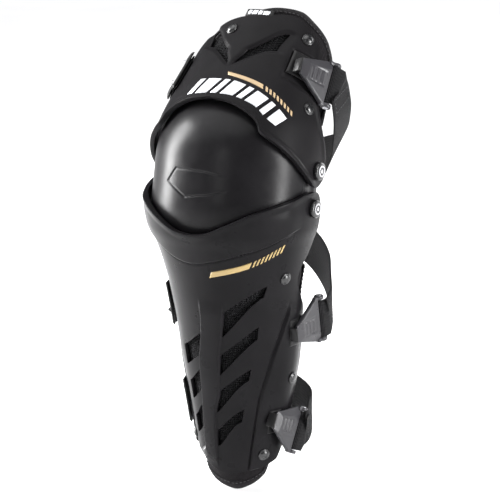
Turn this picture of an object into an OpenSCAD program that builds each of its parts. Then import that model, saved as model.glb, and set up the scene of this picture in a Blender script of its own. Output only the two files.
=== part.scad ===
// Hinged knee and shin guard: a shin plate, a knee cup and a thigh plate joined by
// two pivots on each side, lined with foam, and held on by three hooked straps.
// Frame: origin at the knee centre, midway between the two pivot axes. +Z runs up
// the shin, -Y faces forward and +X is the side that carries the strap hooks.

/* [Knee] */
// Distance between the upper and lower pivot axes
pivot_gap = 35; // [34:1:38]
// Lean of the pivot line behind the shin, at rest
shin_flex = 12.5; // [10:0.5:15]
// Lean of the thigh plate behind the pivot line, at rest
thigh_flex = 32; // [28:1:34]
// Half width of the knee cup
cup_half_w = 80; // [79:0.5:80]
// Reach of the knee cup in front of each pivot axis
cup_reach = 75.5; // [74:0.5:76]
// Radius of the round ears at the pivots
ear_r = 15.5; // [14.5:0.5:16]

/* [Shells] */
// Half width of both plates at the pivots
ear_half_w = 85.5; // [85.5:0.5:86]
// Wall of the hard plates
shell_t = 3.2; // [2.4:0.2:3.2]
// Wall of the knee cup
cup_t = 3; // [2:0.2:3]
// Thickness of the foam liner
liner_t = 9; // [6:1:10]

/* [Pivots] */
// Diameter of the pivot rivets
rivet_d = 8; // [6:1:8]
// Diameter of the pivot caps
cap_d = 17; // [16:1:18]

/* [Straps] */
// Width of the elastic webbing
strap_w = 38; // [34:1:38]
// Thickness of the webbing
strap_t = 2.4; // [1.6:0.2:2.6]
// Reach of a strap hook from its bar to its nose
hook_reach = 36; // [34:1:36]
// Diameter of the bar that the strap loops round
bar_d = 5; // [4:0.5:5]
// Diameter of the snap studs
snap_d = 11.5; // [10:0.5:12]

/* [Hidden] */

plastic = "#262527";
foam = "#1b1a1c";
grey = "#6a6a6f";
steel = "#8f9094";
webbing = "#1f1e20";

fit = 0.05;             // radial running clearance at the pivots and hook bars
oval_power = 2.1;       // how square the oval sections are
liner_gap = 2;          // room between a plate and its liner, for the vent mesh
binding_t = 1;

upper_pivot = [0, pivot_gap / 2 * sin(shin_flex), pivot_gap / 2 * cos(shin_flex)];
lower_pivot = -upper_pivot;
thigh_lean = shin_flex + thigh_flex;

// Stack along X at each pivot, from the inside out
arm_out = cup_half_w - 0.5;
arm_in = arm_out - cup_t;
ear_in = ear_half_w - shell_t;
head_t = 1.6;
head_r = rivet_d / 2 + 3;
cap_out = ear_half_w + 4.5;

// Sections of the plates against height above the pivot: half width, reach forward
// and shift of the section's centre to the rear
shin_half_w = [[20, ear_half_w], [0, ear_half_w], [-18, 83.5], [-35, 78], [-53, 73],
    [-84, 67], [-126, 63], [-156, 59.5], [-187, 54], [-226, 47], [-262, 41], [-290, 37]];
shin_reach = [[20, 83], [0, 83], [-18, 80.5], [-35, 74], [-53, 69], [-84, 62],
    [-126, 55], [-156, 52], [-187, 48], [-226, 43], [-262, 38], [-290, 35]];
shin_shift = [[20, 0], [-18, 0], [-53, 2], [-84, 4], [-126, 7], [-187, 8], [-226, 7],
    [-290, 5]];
thigh_half_w = [[-25, ear_half_w], [15, ear_half_w], [45, 83.5], [70, 81.5],
    [100, 79], [150, 76]];
thigh_reach = [[-25, 83], [15, 83], [45, 80.5], [70, 78.5], [100, 77], [150, 76]];

// Outlines, as angle round the leg (0 at the front, 90 at the side) against height
shin_lip = [[0, -18], [8, -16.5], [24, -7], [41, 3], [58, 9], [73, 13], [83, ear_r],
    [90, ear_r], [95, 13.5], [98, 9.5], [100.5, 0]];
shin_rear = [[20, 100.5], [-20, 100.5], [-35, 99], [-47, 95], [-59, 88], [-70, 86],
    [-85, 92], [-101, 100], [-140, 104], [-180, 104], [-205, 100], [-235, 92], [-255, 80]];
shin_bottom = [[-104, -234], [-60, -245], [-36, -252], [-16, -261], [6, -266],
    [38, -262], [78, -254], [104, -244]];
thigh_lip = [[0, 16], [12, 14], [26, 8.5], [34, 2.5], [39, -6], [52, -9], [67, -12],
    [80, -15], [90, -ear_r], [95, -13.5], [98, -9.5], [100.5, 0]];
thigh_rear = [[-20, 100.5], [0, 100.5], [6, 98], [13, 94], [22, 89], [35, 79],
    [54, 68], [80, 61], [120, 54]];
thigh_top = [[-60, 72], [-49, 84], [-33, 98], [-22, 109], [-11, 114], [0, 117],
    [12, 119], [25, 124], [36, 122], [47, 114], [56, 103], [60, 97]];

// The slanted vents of the shin plate: upper and lower edge of each, and the uprights
// that end them, as height against angle and angle against height
vent_top = [
    [[-100, -142], [-40, -140], [-9, -122], [15, -97], [54, -70], [80, -62], [104, -60]],
    [[-100, -178], [-40, -177], [-15, -161], [8, -142], [45, -111], [75, -95], [104, -92]],
    [[-100, -212], [-40, -213], [-18, -197], [5, -179], [36, -155], [70, -140], [104, -136]],
    [[-100, -226], [-60, -236], [-22, -238], [-2, -222], [30, -197], [65, -188], [104, -184]]];
vent_bottom = [
    [[-100, -160], [-40, -160], [-14, -146], [11, -123], [51, -81], [78, -72], [104, -70]],
    [[-100, -196], [-40, -196], [-15, -181], [6, -163], [43, -124], [75, -108], [104, -104]],
    [[-100, -222], [-40, -231], [-20, -220], [0, -203], [35, -166], [70, -152], [104, -148]],
    [[-100, -230], [-60, -241], [-22, -246], [-1, -238], [26, -211], [65, -200], [104, -196]]];
far_crease = [[0, -80], [-60, -78], [-115, -74], [-160, -66], [-220, -60], [-262, -54]];
far_vent_end = [[0, -48], [-100, -40], [-150, -36], [-230, -38], [-262, -36]];
far_strip = [[0, -14], [-60, -6], [-97, -6], [-123, -9], [-150, -14], [-180, -16],
    [-220, -20], [-262, -24]];
near_strip = [[0, 14], [-60, 18], [-97, 15], [-123, 11], [-142, 8], [-180, 5],
    [-203, 0], [-262, -3]];
near_vent_end = [[0, 48], [-50, 56], [-70, 54], [-81, 51], [-111, 45], [-124, 43],
    [-155, 37], [-200, 30], [-230, 25], [-262, 20]];
near_crease = [[0, 80], [-60, 79], [-90, 78], [-115, 69], [-139, 60], [-161, 54],
    [-190, 47], [-220, 44], [-262, 39]];

// The leaf-shaped vent of the thigh plate, mirrored on the far side
leaf_bottom = [[0, 56], [2, 59], [27, 83], [60, 88], [104, 80]];
leaf_top = [[0, 72], [7, 77], [31, 105], [60, 99], [104, 90]];
leaf_start = [[16, 3], [59, 2], [77, 7], [120, 10]];
leaf_end = [[0, 30], [83, 27], [105, 31], [120, 33]];

// Number of cells across each strip of the plates' grids
shin_cells_u = [4, 3, 3, 3, 3, 3, 5];
shin_cells_v = [5, 2, 2, 2, 2, 2, 2, 2, 3];
thigh_cells_u = [5, 4, 1, 4, 5];
thigh_cells_v = [2, 2, 4];

// ---- Smooth curves through [x, y] points ----

// Index of the stretch that holds x, for points that rise or fall in x
function stretch(p, x, i = 0) =
    i >= len(p) - 2 || (p[1][0] > p[0][0] ? x <= p[i + 1][0] : x >= p[i + 1][0]) ? i
    : stretch(p, x, i + 1);
function chord(p, i) = (p[i + 1][1] - p[i][1]) / (p[i + 1][0] - p[i][0]);
function slope(p, i) =
    i == 0 ? chord(p, 0) : i == len(p) - 1 ? chord(p, i - 1)
    : chord(p, i - 1) * chord(p, i) <= 0 ? 0
    : 2 * chord(p, i - 1) * chord(p, i) / (chord(p, i - 1) + chord(p, i));
function hermite(y0, y1, m0, m1, t) =
    y0 * (1 + 2 * t) * (1 - t) ^ 2 + y1 * t ^ 2 * (3 - 2 * t)
    + m0 * t * (1 - t) ^ 2 - m1 * t ^ 2 * (1 - t);
function curve(p, x) =
    let (i = stretch(p, x), h = p[i + 1][0] - p[i][0], t = min(1, max(0, (x - p[i][0]) / h)))
    hermite(p[i][1], p[i + 1][1], h * slope(p, i), h * slope(p, i + 1), t);

// ---- Surfaces ----

function bend(s, power) = sign(s) * abs(s) ^ (2 / power);
function lean(p, angle) = [p[0], p[1] * cos(angle) + p[2] * sin(angle),
    p[2] * cos(angle) - p[1] * sin(angle)];
function oval(a, b, phi) = [a * bend(sin(phi), oval_power), -b * bend(cos(phi), oval_power)];

// Point of the shin plate at angle phi, height z and distance off outside it
shin_at = function(phi, z, off)
    let (s = oval(curve(shin_half_w, z) + off, curve(shin_reach, z) + off, phi))
    [s[0], s[1] + curve(shin_shift, z), z] + lower_pivot;
// The same for the thigh plate, in its own frame at the upper pivot
function thigh_own(phi, z, off) =
    let (s = oval(curve(thigh_half_w, z) + off, curve(thigh_reach, z) + off, phi))
    [s[0], s[1], z];
thigh_at = function(phi, z, off) lean(thigh_own(phi, z, off), thigh_lean) + upper_pivot;
// The knee cup: psi turns from one side to the other over the front, and theta
// climbs from below the lower pivot to above the upper one
function cup_at(psi, theta, off) =
    let (x = (cup_half_w + off) * bend(sin(psi), oval_power),
        r = (cup_reach + off) * bend(cos(psi), oval_power),
        centre = pivot_gap / 2 * max(-1, min(1, theta / 4)),
        turn = theta > 4 ? theta - 4 : theta < -4 ? theta + 4 : 0)
    lean([x, -r * cos(turn), r * sin(turn) + centre], shin_flex);

// ---- Grids of cells turned into closed solids ----

// Even steps inside strips: for cells [2, 3] this is 0, 1/2, 1, 4/3, 5/3, 2
function steps(cells) = concat([0], [for (s = [0:len(cells) - 1]) for (k = [1:cells[s]])
    s + k / cells[s]]);
// Value at place s among a list of lines' values
function blend_at(values, s) =
    let (i = min(floor(s), len(values) - 2)) values[i] * (i + 1 - s) + values[i + 1] * (s - i);

// A solid from grids of outer and inner points; keep[i][j] says which cells are there
module grid_solid(outer, inner, keep) {
    nu = len(outer) - 1;
    nv = len(outer[0]) - 1;
    half = (nu + 1) * (nv + 1);
    kept = function(i, j) i >= 0 && j >= 0 && i < nu && j < nv && keep[i][j];
    at = function(i, j) i * (nv + 1) + j;
    faces = [for (i = [0:nu - 1]) for (j = [0:nv - 1]) if (kept(i, j))
        let (a = at(i, j), b = at(i + 1, j), c = at(i + 1, j + 1), d = at(i, j + 1))
        each concat([[a, b, c], [a, c, d], [c + half, b + half, a + half],
                [d + half, c + half, a + half]],
            kept(i - 1, j) ? [] : [[a + half, a, d], [a + half, d, d + half]],
            kept(i + 1, j) ? [] : [[b, b + half, c + half], [b, c + half, c]],
            kept(i, j - 1) ? [] : [[a + half, b + half, b], [a + half, b, a]],
            kept(i, j + 1) ? [] : [[d, c, c + half], [d, c + half, d + half]])];
    polyhedron([each each outer, each each inner], faces, convexity = 10);
}

// A whole patch between two angles and two heights of a skin
module patch(skin, phi, z, off, cells) {
    grid = function(o) [for (i = [0:cells[0]]) [for (j = [0:cells[1]])
        skin(phi[0] + (phi[1] - phi[0]) * i / cells[0],
            z[1] + (z[0] - z[1]) * j / cells[1], o)]];
    grid_solid(grid(off[1]), grid(off[0]),
        [for (i = [1:cells[0]]) [for (j = [1:cells[1]]) true]]);
}

// ---- Shin plate ----

function shin_uprights(z) = [-curve(shin_rear, z), curve(far_crease, z),
    curve(far_vent_end, z), curve(far_strip, z), curve(near_strip, z),
    curve(near_vent_end, z), curve(near_crease, z), curve(shin_rear, z)];
function shin_levels(phi) = concat([curve(shin_lip, abs(phi))],
    [for (k = [0:3]) each [curve(vent_top[k], phi), curve(vent_bottom[k], phi)]],
    [curve(shin_bottom, phi)]);
// Angle and height where upright u and level v cross
function shin_cross(u, v, z = -120, n = 0) =
    let (phi = blend_at(shin_uprights(z), u), next = blend_at(shin_levels(phi), v))
    n == 6 ? [phi, next] : shin_cross(u, v, next, n + 1);
shin_u = steps(shin_cells_u);
shin_v = steps(shin_cells_v);
shin_grid = [for (u = shin_u) [for (v = shin_v) shin_cross(u, v)]];
function in_vent(u, v) = (u > 4 && u < 5 && floor(v) % 2 == 1)
    || (u > 2 && u < 3 && floor(v) % 2 == 1 && v < 7);

module shin_plate(off, keep) {
    grid = function(o) [for (column = shin_grid) [for (c = column) shin_at(c[0], c[1], o)]];
    grid_solid(grid(off[1]), grid(off[0]), keep);
}
function shin_keep(test) = [for (i = [1:len(shin_u) - 1]) [for (j = [1:len(shin_v) - 1])
    test((shin_u[i - 1] + shin_u[i]) / 2, (shin_v[j - 1] + shin_v[j]) / 2)]];

// ---- Thigh plate ----

function thigh_uprights(z) = [-curve(thigh_rear, z), -curve(leaf_end, z),
    -curve(leaf_start, z), curve(leaf_start, z), curve(leaf_end, z), curve(thigh_rear, z)];
function thigh_levels(phi) = [curve(thigh_top, phi), min(curve(leaf_top, abs(phi)),
    curve(thigh_top, phi) - 4), min(curve(leaf_bottom, abs(phi)), curve(thigh_top, phi) - 8),
    curve(thigh_lip, abs(phi))];
function thigh_cross(u, v, z = 60, n = 0) =
    let (phi = blend_at(thigh_uprights(z), u), next = blend_at(thigh_levels(phi), v))
    n == 6 ? [phi, next] : thigh_cross(u, v, next, n + 1);
thigh_u = steps(thigh_cells_u);
thigh_v = steps(thigh_cells_v);
thigh_grid = [for (u = thigh_u) [for (v = thigh_v) thigh_cross(u, v)]];
function in_leaf(u, v) = v > 1 && v < 2 && ((u > 1 && u < 2) || (u > 3 && u < 4));

module thigh_plate(off, keep) {
    grid = function(o) [for (column = thigh_grid) [for (c = column) thigh_at(c[0], c[1], o)]];
    grid_solid(grid(off[1]), grid(off[0]), keep);
}
function thigh_keep(test) = [for (i = [1:len(thigh_u) - 1]) [for (j = [1:len(thigh_v) - 1])
    test((thigh_u[i - 1] + thigh_u[i]) / 2, (thigh_v[j - 1] + thigh_v[j]) / 2)]];

// ---- Liners ----

liner_out = -shell_t - liner_gap;
liner_in = liner_out - liner_t;
shin_liner_top = -58;
shin_liner_rear = [[-50, 112], [-200, 112], [-240, 100], [-262, 84], [-290, 60]];
shin_liner_bottom = [[-112, -240], [-75, -262], [-42, -276], [-6, -282], [17, -284],
    [45, -280], [79, -270], [112, -250]];
thigh_liner_bottom = 46;
thigh_liner_rear = [[40, 86], [80, 80], [105, 74], [125, 64], [140, 52]];
thigh_liner_top = [[-86, 60], [-60, 82], [-49, 98], [-33, 112], [-9, 122], [1, 130],
    [16, 135], [32, 137], [45, 132], [60, 124], [74, 108], [86, 96]];
liner_u = concat([-1, -0.93], [for (i = [-8:8]) i / 9.7], [0.93, 1]);
liner_v = concat([0], [for (j = [1:9]) j / 9.4], [1]);
thigh_liner_v = concat([0, 0.1], [for (j = [1:6]) 0.1 + j * 0.15]);

function shin_liner_cross(u, v, z = -150, n = 0) =
    let (phi = u * curve(shin_liner_rear, z),
        next = shin_liner_top + (curve(shin_liner_bottom, phi) - shin_liner_top) * v)
    n == 6 ? [phi, next] : shin_liner_cross(u, v, next, n + 1);
function thigh_liner_cross(u, v, z = 90, n = 0) =
    let (phi = u * curve(thigh_liner_rear, z), top = curve(thigh_liner_top, phi),
        next = top + (thigh_liner_bottom - top) * v)
    n == 6 ? [phi, next] : thigh_liner_cross(u, v, next, n + 1);

module shin_lining(off, keep) {
    grid = function(o) [for (u = liner_u) [for (v = liner_v)
        let (c = shin_liner_cross(u, v)) shin_at(c[0], c[1], o)]];
    grid_solid(grid(off[1]), grid(off[0]), keep);
}
module thigh_lining(off, keep) {
    grid = function(o) [for (u = liner_u) [for (v = thigh_liner_v)
        let (c = thigh_liner_cross(u, v)) thigh_at(c[0], c[1], o)]];
    grid_solid(grid(off[1]), grid(off[0]), keep);
}
// Cells of a liner's grid: all of them, or the border that the binding covers
function cells(u, v, test) = [for (i = [0:len(u) - 2]) [for (j = [0:len(v) - 2])
    test(i == 0 || i == len(u) - 2, j)]];

// ---- Placing ----

function unit(v) = v / norm(v);
function normal_at(skin, phi, z) = unit(cross(skin(phi + 1, z, 0) -
    skin(phi - 1, z, 0), skin(phi, z + 1, 0) - skin(phi, z - 1, 0)));
// Stands the children on a skin, with their +Z along its outward normal
module on_surface(skin, phi, z, off) {
    n = normal_at(skin, phi, z);
    translate(skin(phi, z, 0) + n * off)
        rotate([0, acos(n[2]), atan2(n[1], n[0])])
            children();
}
module along_x(pivot) {
    for (side = [0, 1]) mirror([side, 0, 0])
        translate(pivot) rotate([0, 90, 0]) children();
}

// ---- Pivots: pieces along X at both ends of an axis ----

module rivets(pivot) {
    along_x(pivot) {
        translate([0, 0, arm_in - 0.1 - head_t])
            cylinder(h = head_t, r = head_r, $fn = 48);
        translate([0, 0, arm_in - 0.2])
            cylinder(h = ear_half_w + 0.2 - arm_in + 0.2, d = rivet_d, $fn = 48);
        translate([0, 0, ear_half_w + 0.1])
            cylinder(h = head_t, r = head_r, $fn = 48);
    }
}
module washers(pivot) {
    along_x(pivot) translate([0, 0, arm_out + 0.1]) difference() {
        cylinder(h = ear_in - arm_out - 1.6, r = head_r + 0.5, $fn = 48);
        translate([0, 0, -1]) cylinder(h = 10, r = rivet_d / 2 + 2 * fit, $fn = 48);
    }
}
module caps(pivot) {
    along_x(pivot) difference() {
        translate([0, 0, ear_half_w + 0.15]) union() {
            cylinder(h = 3, d = cap_d, $fn = 64);
            translate([0, 0, 3]) cylinder(h = 1.35, d1 = cap_d, d2 = cap_d - 2.4, $fn = 64);
        }
        translate([0, 0, ear_half_w - 1])
            cylinder(h = 1 + head_t + 0.3, r = head_r + 0.2, $fn = 48);
    }
}
module inlays(pivot) {
    along_x(pivot) translate([0, 0, cap_out + 0.02]) {
        difference() {
            cylinder(h = 0.4, r = 5.4, $fn = 48);
            translate([0, 0, -1]) cylinder(h = 3, r = 3.8, $fn = 48);
        }
        cylinder(h = 0.4, r = 1.9, $fn = 32);
    }
}
module pivot_bores(pivot) {
    along_x(pivot) translate([0, 0, arm_in - 3])
        cylinder(h = 16, r = rivet_d / 2 + fit, $fn = 48);
}

// ---- Strap hooks: each lies in its own frame, with the bar along Z, the nose
// towards -Y and +X pointing away from the plate ----

// Place of the bar's middle, direction the hook faces, roll of the bar, and which
// way up the hook is
hook_spots = [
    [[82.3, -30, 75], 60, 8, 1],
    [[76, 26, -131], 80, 8, -1],
    [[59.2, 9.2, -243], 78, -24, 1]];
bar_len = strap_w + 8;
lug_t = 3.4;
hook_under = -2;
hook_top = 2.6;
nose = [[-4.5, hook_reach - 1.5], [12.5, hook_reach]];
loop_r = bar_d / 2 + strap_t / 2 + 0.3;

module at_hook(k) {
    spot = hook_spots[k];
    translate(spot[0]) rotate([0, 0, spot[1] - 90]) rotate([spot[2], 0, 0])
        scale([1, 1, spot[3]]) children();
}
module on_thigh() {
    translate(upper_pivot) rotate([-thigh_lean, 0, 0]) children();
}
// Outline of the hook plate in its own Y and Z
function hook_outline() = let (w = bar_len / 2, n = nose)
    [[-6, -w], [-n[0][1], n[0][0]], [-n[1][1], n[1][0]], [-6, w]];
module hook() {
    rotate([90, 0, 90]) translate([0, 0, hook_under])
        linear_extrude(hook_top - hook_under) polygon(hook_outline());
    for (side = [-1, 1]) translate([0, 0, side * (bar_len - lug_t) / 2]) difference() {
        union() {
            cylinder(h = lug_t, r = bar_d / 2 + 2.2, center = true, $fn = 48);
            translate([hook_under, -8, -lug_t / 2])
                cube([hook_top - hook_under, 8, lug_t]);
        }
        cylinder(h = 10, r = bar_d / 2 + fit, center = true, $fn = 48);
    }
    // Three grip ribs across the face
    for (k = [0:2]) translate([hook_top - 0.2, -17 - 4 * k, 1]) cube([0.9, 1.6, 9]);
}
module hook_bar() cylinder(h = bar_len + 1, d = bar_d, center = true, $fn = 48);
// The part of a catch that stands in front of the nose, down to depth under the hook
module catch_tongue(depth) {
    translate([hook_under - depth, -hook_reach - 3.6, -3])
        cube([hook_top - hook_under + depth, 2.8, 13]);
}

// ---- Webbing: a flat band swept along a route ----

function turn_x(p, a) = [p[0], p[1] * cos(a) - p[2] * sin(a), p[1] * sin(a) + p[2] * cos(a)];
function turn_z(p, a) = [p[0] * cos(a) - p[1] * sin(a), p[0] * sin(a) + p[1] * cos(a), p[2]];
// From a hook's own frame to the part's frame
function from_hook(k, p) = let (spot = hook_spots[k],
    q = turn_z(turn_x([p[0], p[1], p[2] * spot[3]], spot[2]), spot[1] - 90) + spot[0])
    k == 0 ? lean(q, thigh_lean) + upper_pivot : q;
function catmull(a, b, c, d, t) = (2 * b + (c - a) * t + (2 * a - 5 * b + 4 * c - d) * t ^ 2
    + (3 * b - a - 3 * c + d) * t ^ 3) / 2;
function smooth_route(p, n) = [for (i = [0:len(p) - 2]) for (k = [0:n - 1])
    catmull(p[max(0, i - 1)], p[i], p[i + 1], p[min(len(p) - 1, i + 2)], k / n)];

// Points of the loop round the bar, then out to the rear of the hook
function loop_points(k) = [for (a = [150:30:360]) from_hook(k, [loop_r * cos(a),
    loop_r * sin(a), 0])];
// A band from hook k along a route of middle points, with the way its width runs
module strap(k, route, widths) {
    along = unit(from_hook(k, [0, 0, 1]) - from_hook(k, [0, 0, -1])) * hook_spots[k][3];
    start = from_hook(k, [loop_r, 7, 0]);
    loop = loop_points(k);
    middle = concat(loop, smooth_route(concat([start], route), 4), [route[len(route) - 1]]);
    across = concat([for (p = loop) along], smooth_route(concat([along], widths), 4),
        [widths[len(widths) - 1]]);
    last = len(middle) - 1;
    rings = [for (i = [0:last])
        let (way = unit(middle[min(last, i + 1)] - middle[max(0, i - 1)]),
            w = unit(across[i]) * strap_w / 2, n = unit(cross(way, w)) * strap_t / 2)
        [middle[i] - w - n, middle[i] + w - n, middle[i] + w + n, middle[i] - w + n]];
    faces = concat([[0, 1, 2], [0, 2, 3]],
        [for (i = [0:last - 1]) for (s = [0:3])
            let (a = 4 * i + s, b = 4 * i + (s + 1) % 4)
            each [[a, a + 4, b + 4], [a, b + 4, b]]],
        [[4 * last + 2, 4 * last + 1, 4 * last], [4 * last + 3, 4 * last + 2, 4 * last]]);
    polyhedron([each each rings], faces, convexity = 10);
}

// Where the straps end on the far side: angle range and height of each anchor
thigh_anchor_spot = [[-61, -41], 58];
calf_anchor_spot = [[-86, -64], -106];
ankle_anchor_spot = [[-88, -62], -205];
strap_off = 0.5 + strap_t / 2;
anchor_off = [strap_off + strap_t / 2 + 0.3, strap_off + strap_t / 2 + 2.7];
end_steps = [-0.25, 0, 0.25, 0.5, 0.75, 0.95];
function strap_end(skin, spot) = [for (t = end_steps)
    skin(spot[0][0] + (spot[0][1] - spot[0][0]) * t, spot[1], strap_off)];
// The band's width there runs up the plate's own slope
function end_widths(skin, spot) = [for (t = end_steps)
    let (phi = spot[0][0] + (spot[0][1] - spot[0][0]) * t)
    unit(skin(phi, spot[1] + strap_w / 2, 0) - skin(phi, spot[1] - strap_w / 2, 0))];
up = [0, 0, 1];

// Routes round the back of the leg, from the hooks to the far side
thigh_route = concat([[86, 50, 63], [66, 80, 30], [34, 99, 10], [0, 106, 3],
    [-40, 102, 10], [-72, 86, 30], [-88, 52, 62]], strap_end(thigh_at, thigh_anchor_spot));
thigh_widths = concat([[0, 0.85, 0.52], [0, 0.78, 0.62], [0, 0.2, 0.98], [0, 0.15, 1],
    [0, 0.2, 0.98], [0, 0.4, 0.9], [0, 0.6, 0.8]], end_widths(thigh_at, thigh_anchor_spot));
calf_route = concat([[74, 50, -120], [56, 74, -100], [30, 88, -80], [0, 92, -72],
    [-30, 88, -78], [-56, 72, -94], [-71, 44, -110]], strap_end(shin_at, calf_anchor_spot));
calf_widths = concat([for (k = [1:7]) up], end_widths(shin_at, calf_anchor_spot));
ankle_route = concat([[61, 30, -239], [51, 50, -233], [27, 64, -227], [0, 68, -223],
    [-27, 64, -221], [-48, 49, -221], [-58, 30, -222]],
    strap_end(shin_at, ankle_anchor_spot));
ankle_widths = concat([for (k = [1:7]) up], end_widths(shin_at, ankle_anchor_spot));

// ---- Small trim ----

module snap() {
    cylinder(h = 1.2, d = snap_d, $fn = 48);
    translate([0, 0, 1.2]) intersection() {
        translate([0, 0, 1.6 - snap_d]) sphere(snap_d, $fn = 64);
        cylinder(h = 3, d = snap_d - 1.4, $fn = 48);
    }
}
module snaps(skin, spots) {
    for (s = spots) on_surface(skin, s[0], s[1], 0.6) snap();
}
module anchor(skin, spot) {
    patch(skin, spot[0], [spot[1] - strap_w / 2 - 3, spot[1] + strap_w / 2 + 3],
        anchor_off, [4, 4]);
}
module anchor_rivets(skin, spot) {
    for (side = [-1, 1]) on_surface(skin, (spot[0][0] + spot[0][1]) / 2,
        spot[1] + side * strap_w / 3, anchor_off[1] + 0.6)
            cylinder(h = 1.5, d1 = 8, d2 = 6, $fn = 32);
}
shin_snap_spots = [[71, -65], [86, -169], [58, -245], [-23, -248], [-74, -65],
    [-86, -152], [-58, -236]];
thigh_snap_spots = [[44, 107], [63, 42], [-11, 100], [-66, 22]];

// ---- Shin plate's pieces ----

module shin_shell() {
    color(plastic) difference() {
        shin_plate([-shell_t, 0], shin_keep(function(u, v) !in_vent(u, v)));
        pivot_bores(lower_pivot);
    }
}
module shin_mesh_near() {
    color(foam) patch(shin_at, [-3.5, 58], [-244, -64], [-shell_t - 1.8, -shell_t - 1],
        [10, 12]);
}
module shin_mesh_far() {
    color(foam) patch(shin_at, [-44, -5], [-226, -118], [-shell_t - 1.8, -shell_t - 1],
        [6, 8]);
}
module shin_liner() {
    color(foam) shin_lining([liner_in, liner_out],
        cells(liner_u, liner_v, function(side, j) true));
}
module shin_binding() {
    color(webbing) shin_lining([liner_out + 0.1, liner_out + 0.1 + binding_t],
        cells(liner_u, liner_v, function(side, j) side || j == len(liner_v) - 2));
}
module shin_snaps() color(plastic) snaps(shin_at, shin_snap_spots);
module lower_pivot_rivets() color(steel) rivets(lower_pivot);
module lower_pivot_washers() color("white") washers(lower_pivot);
module lower_pivot_caps() color(plastic) caps(lower_pivot);
module lower_cap_inlays() color("white") inlays(lower_pivot);
module calf_catch() {
    color(plastic) {
        patch(shin_at, [76, 94], [-136, -108], [0.4, 3.6], [3, 3]);
        at_hook(1) catch_tongue(3);
    }
}
module ankle_catch() {
    color(plastic) {
        patch(shin_at, [50, 78], [-230, -196], [0.4, 2.6], [3, 3]);
        at_hook(2) catch_tongue(4.2);
    }
}
module calf_anchor() color(plastic) anchor(shin_at, calf_anchor_spot);
module ankle_anchor() color(plastic) anchor(shin_at, ankle_anchor_spot);
module shin_anchor_rivets() {
    color(steel) {
        anchor_rivets(shin_at, calf_anchor_spot);
        anchor_rivets(shin_at, ankle_anchor_spot);
    }
}
module calf_strap() color(webbing) strap(1, calf_route, calf_widths);
module ankle_strap() color(webbing) strap(2, ankle_route, ankle_widths);
module calf_hook_bar() color(steel) at_hook(1) hook_bar();
module ankle_hook_bar() color(steel) at_hook(2) hook_bar();

// ---- Knee cup's pieces ----

module cup_skin(psi, theta, off, cells) {
    grid = function(o) [for (i = [0:cells[0]]) [for (j = [0:cells[1]])
        cup_at(-psi + 2 * psi * i / cells[0],
            theta[1] + (theta[0] - theta[1]) * j / cells[1], o)]];
    grid_solid(grid(off[1]), grid(off[0]),
        [for (i = [1:cells[0]]) [for (j = [1:cells[1]]) true]]);
}
module knee_cup() {
    color(plastic) union() {
        cup_skin(82.5, [-56, 70], [-cup_t, 0], [24, 18]);
        for (side = [0, 1]) mirror([side, 0, 0]) rotate([-shin_flex, 0, 0])
            translate([arm_in, 0, 0]) rotate([0, 90, 0]) difference() {
                linear_extrude(cup_t) {
                    for (end = [-1, 1]) translate([end * pivot_gap / 2, 0])
                        circle(13, $fn = 64);
                    square([pivot_gap, 26], center = true);
                }
                for (end = [-1, 1]) translate([end * pivot_gap / 2, 0, -1])
                    cylinder(h = 8, r = rivet_d / 2 + fit, $fn = 48);
            }
    }
}
module knee_liner() {
    color(foam) cup_skin(60, [-58, 72], [-cup_t - 1 - liner_t, -cup_t - 1], [16, 14]);
}

// ---- Thigh plate's pieces ----

module thigh_shell() {
    color(plastic) difference() {
        thigh_plate([-shell_t, 0], thigh_keep(function(u, v) !in_leaf(u, v)));
        pivot_bores(upper_pivot);
    }
}
module thigh_mesh() {
    color(foam) {
        patch(thigh_at, [1, 36], [56, 108], [-shell_t - 1.8, -shell_t - 1], [5, 4]);
        patch(thigh_at, [-36, -1], [56, 94], [-shell_t - 1.8, -shell_t - 1], [5, 4]);
    }
}
module thigh_liner() {
    color(foam) thigh_lining([liner_in, liner_out],
        cells(liner_u, thigh_liner_v, function(side, j) true));
}
module thigh_binding() {
    color(webbing) thigh_lining([liner_out + 0.1, liner_out + 0.1 + binding_t],
        cells(liner_u, thigh_liner_v, function(side, j) side || j == 0));
}
module thigh_label() {
    color("white") patch(thigh_at, [-8, 13], [119, 127],
        [liner_out + binding_t + 0.4, liner_out + binding_t + 1.2], [4, 1]);
}
module thigh_snaps() color(plastic) snaps(thigh_at, thigh_snap_spots);
module upper_pivot_rivets() color(steel) rivets(upper_pivot);
module upper_pivot_washers() color("white") washers(upper_pivot);
module upper_pivot_caps() color(plastic) caps(upper_pivot);
module upper_cap_inlays() color("white") inlays(upper_pivot);
module thigh_catch() {
    color(plastic) {
        patch(thigh_at, [38, 56], [64, 90], [0.4, 2], [3, 3]);
        on_thigh() at_hook(0) catch_tongue(4.2);
    }
}
module thigh_anchor() color(plastic) anchor(thigh_at, thigh_anchor_spot);
module thigh_anchor_rivets() color(steel) anchor_rivets(thigh_at, thigh_anchor_spot);
module thigh_strap() color(webbing) strap(0, thigh_route, thigh_widths);
module thigh_hook_bar() color(steel) on_thigh() at_hook(0) hook_bar();

// ---- Hooks, each free to swing on its bar ----

module thigh_hook() color(grey) on_thigh() at_hook(0) hook();
module calf_hook() color(grey) at_hook(1) hook();
module ankle_hook() color(grey) at_hook(2) hook();

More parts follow.
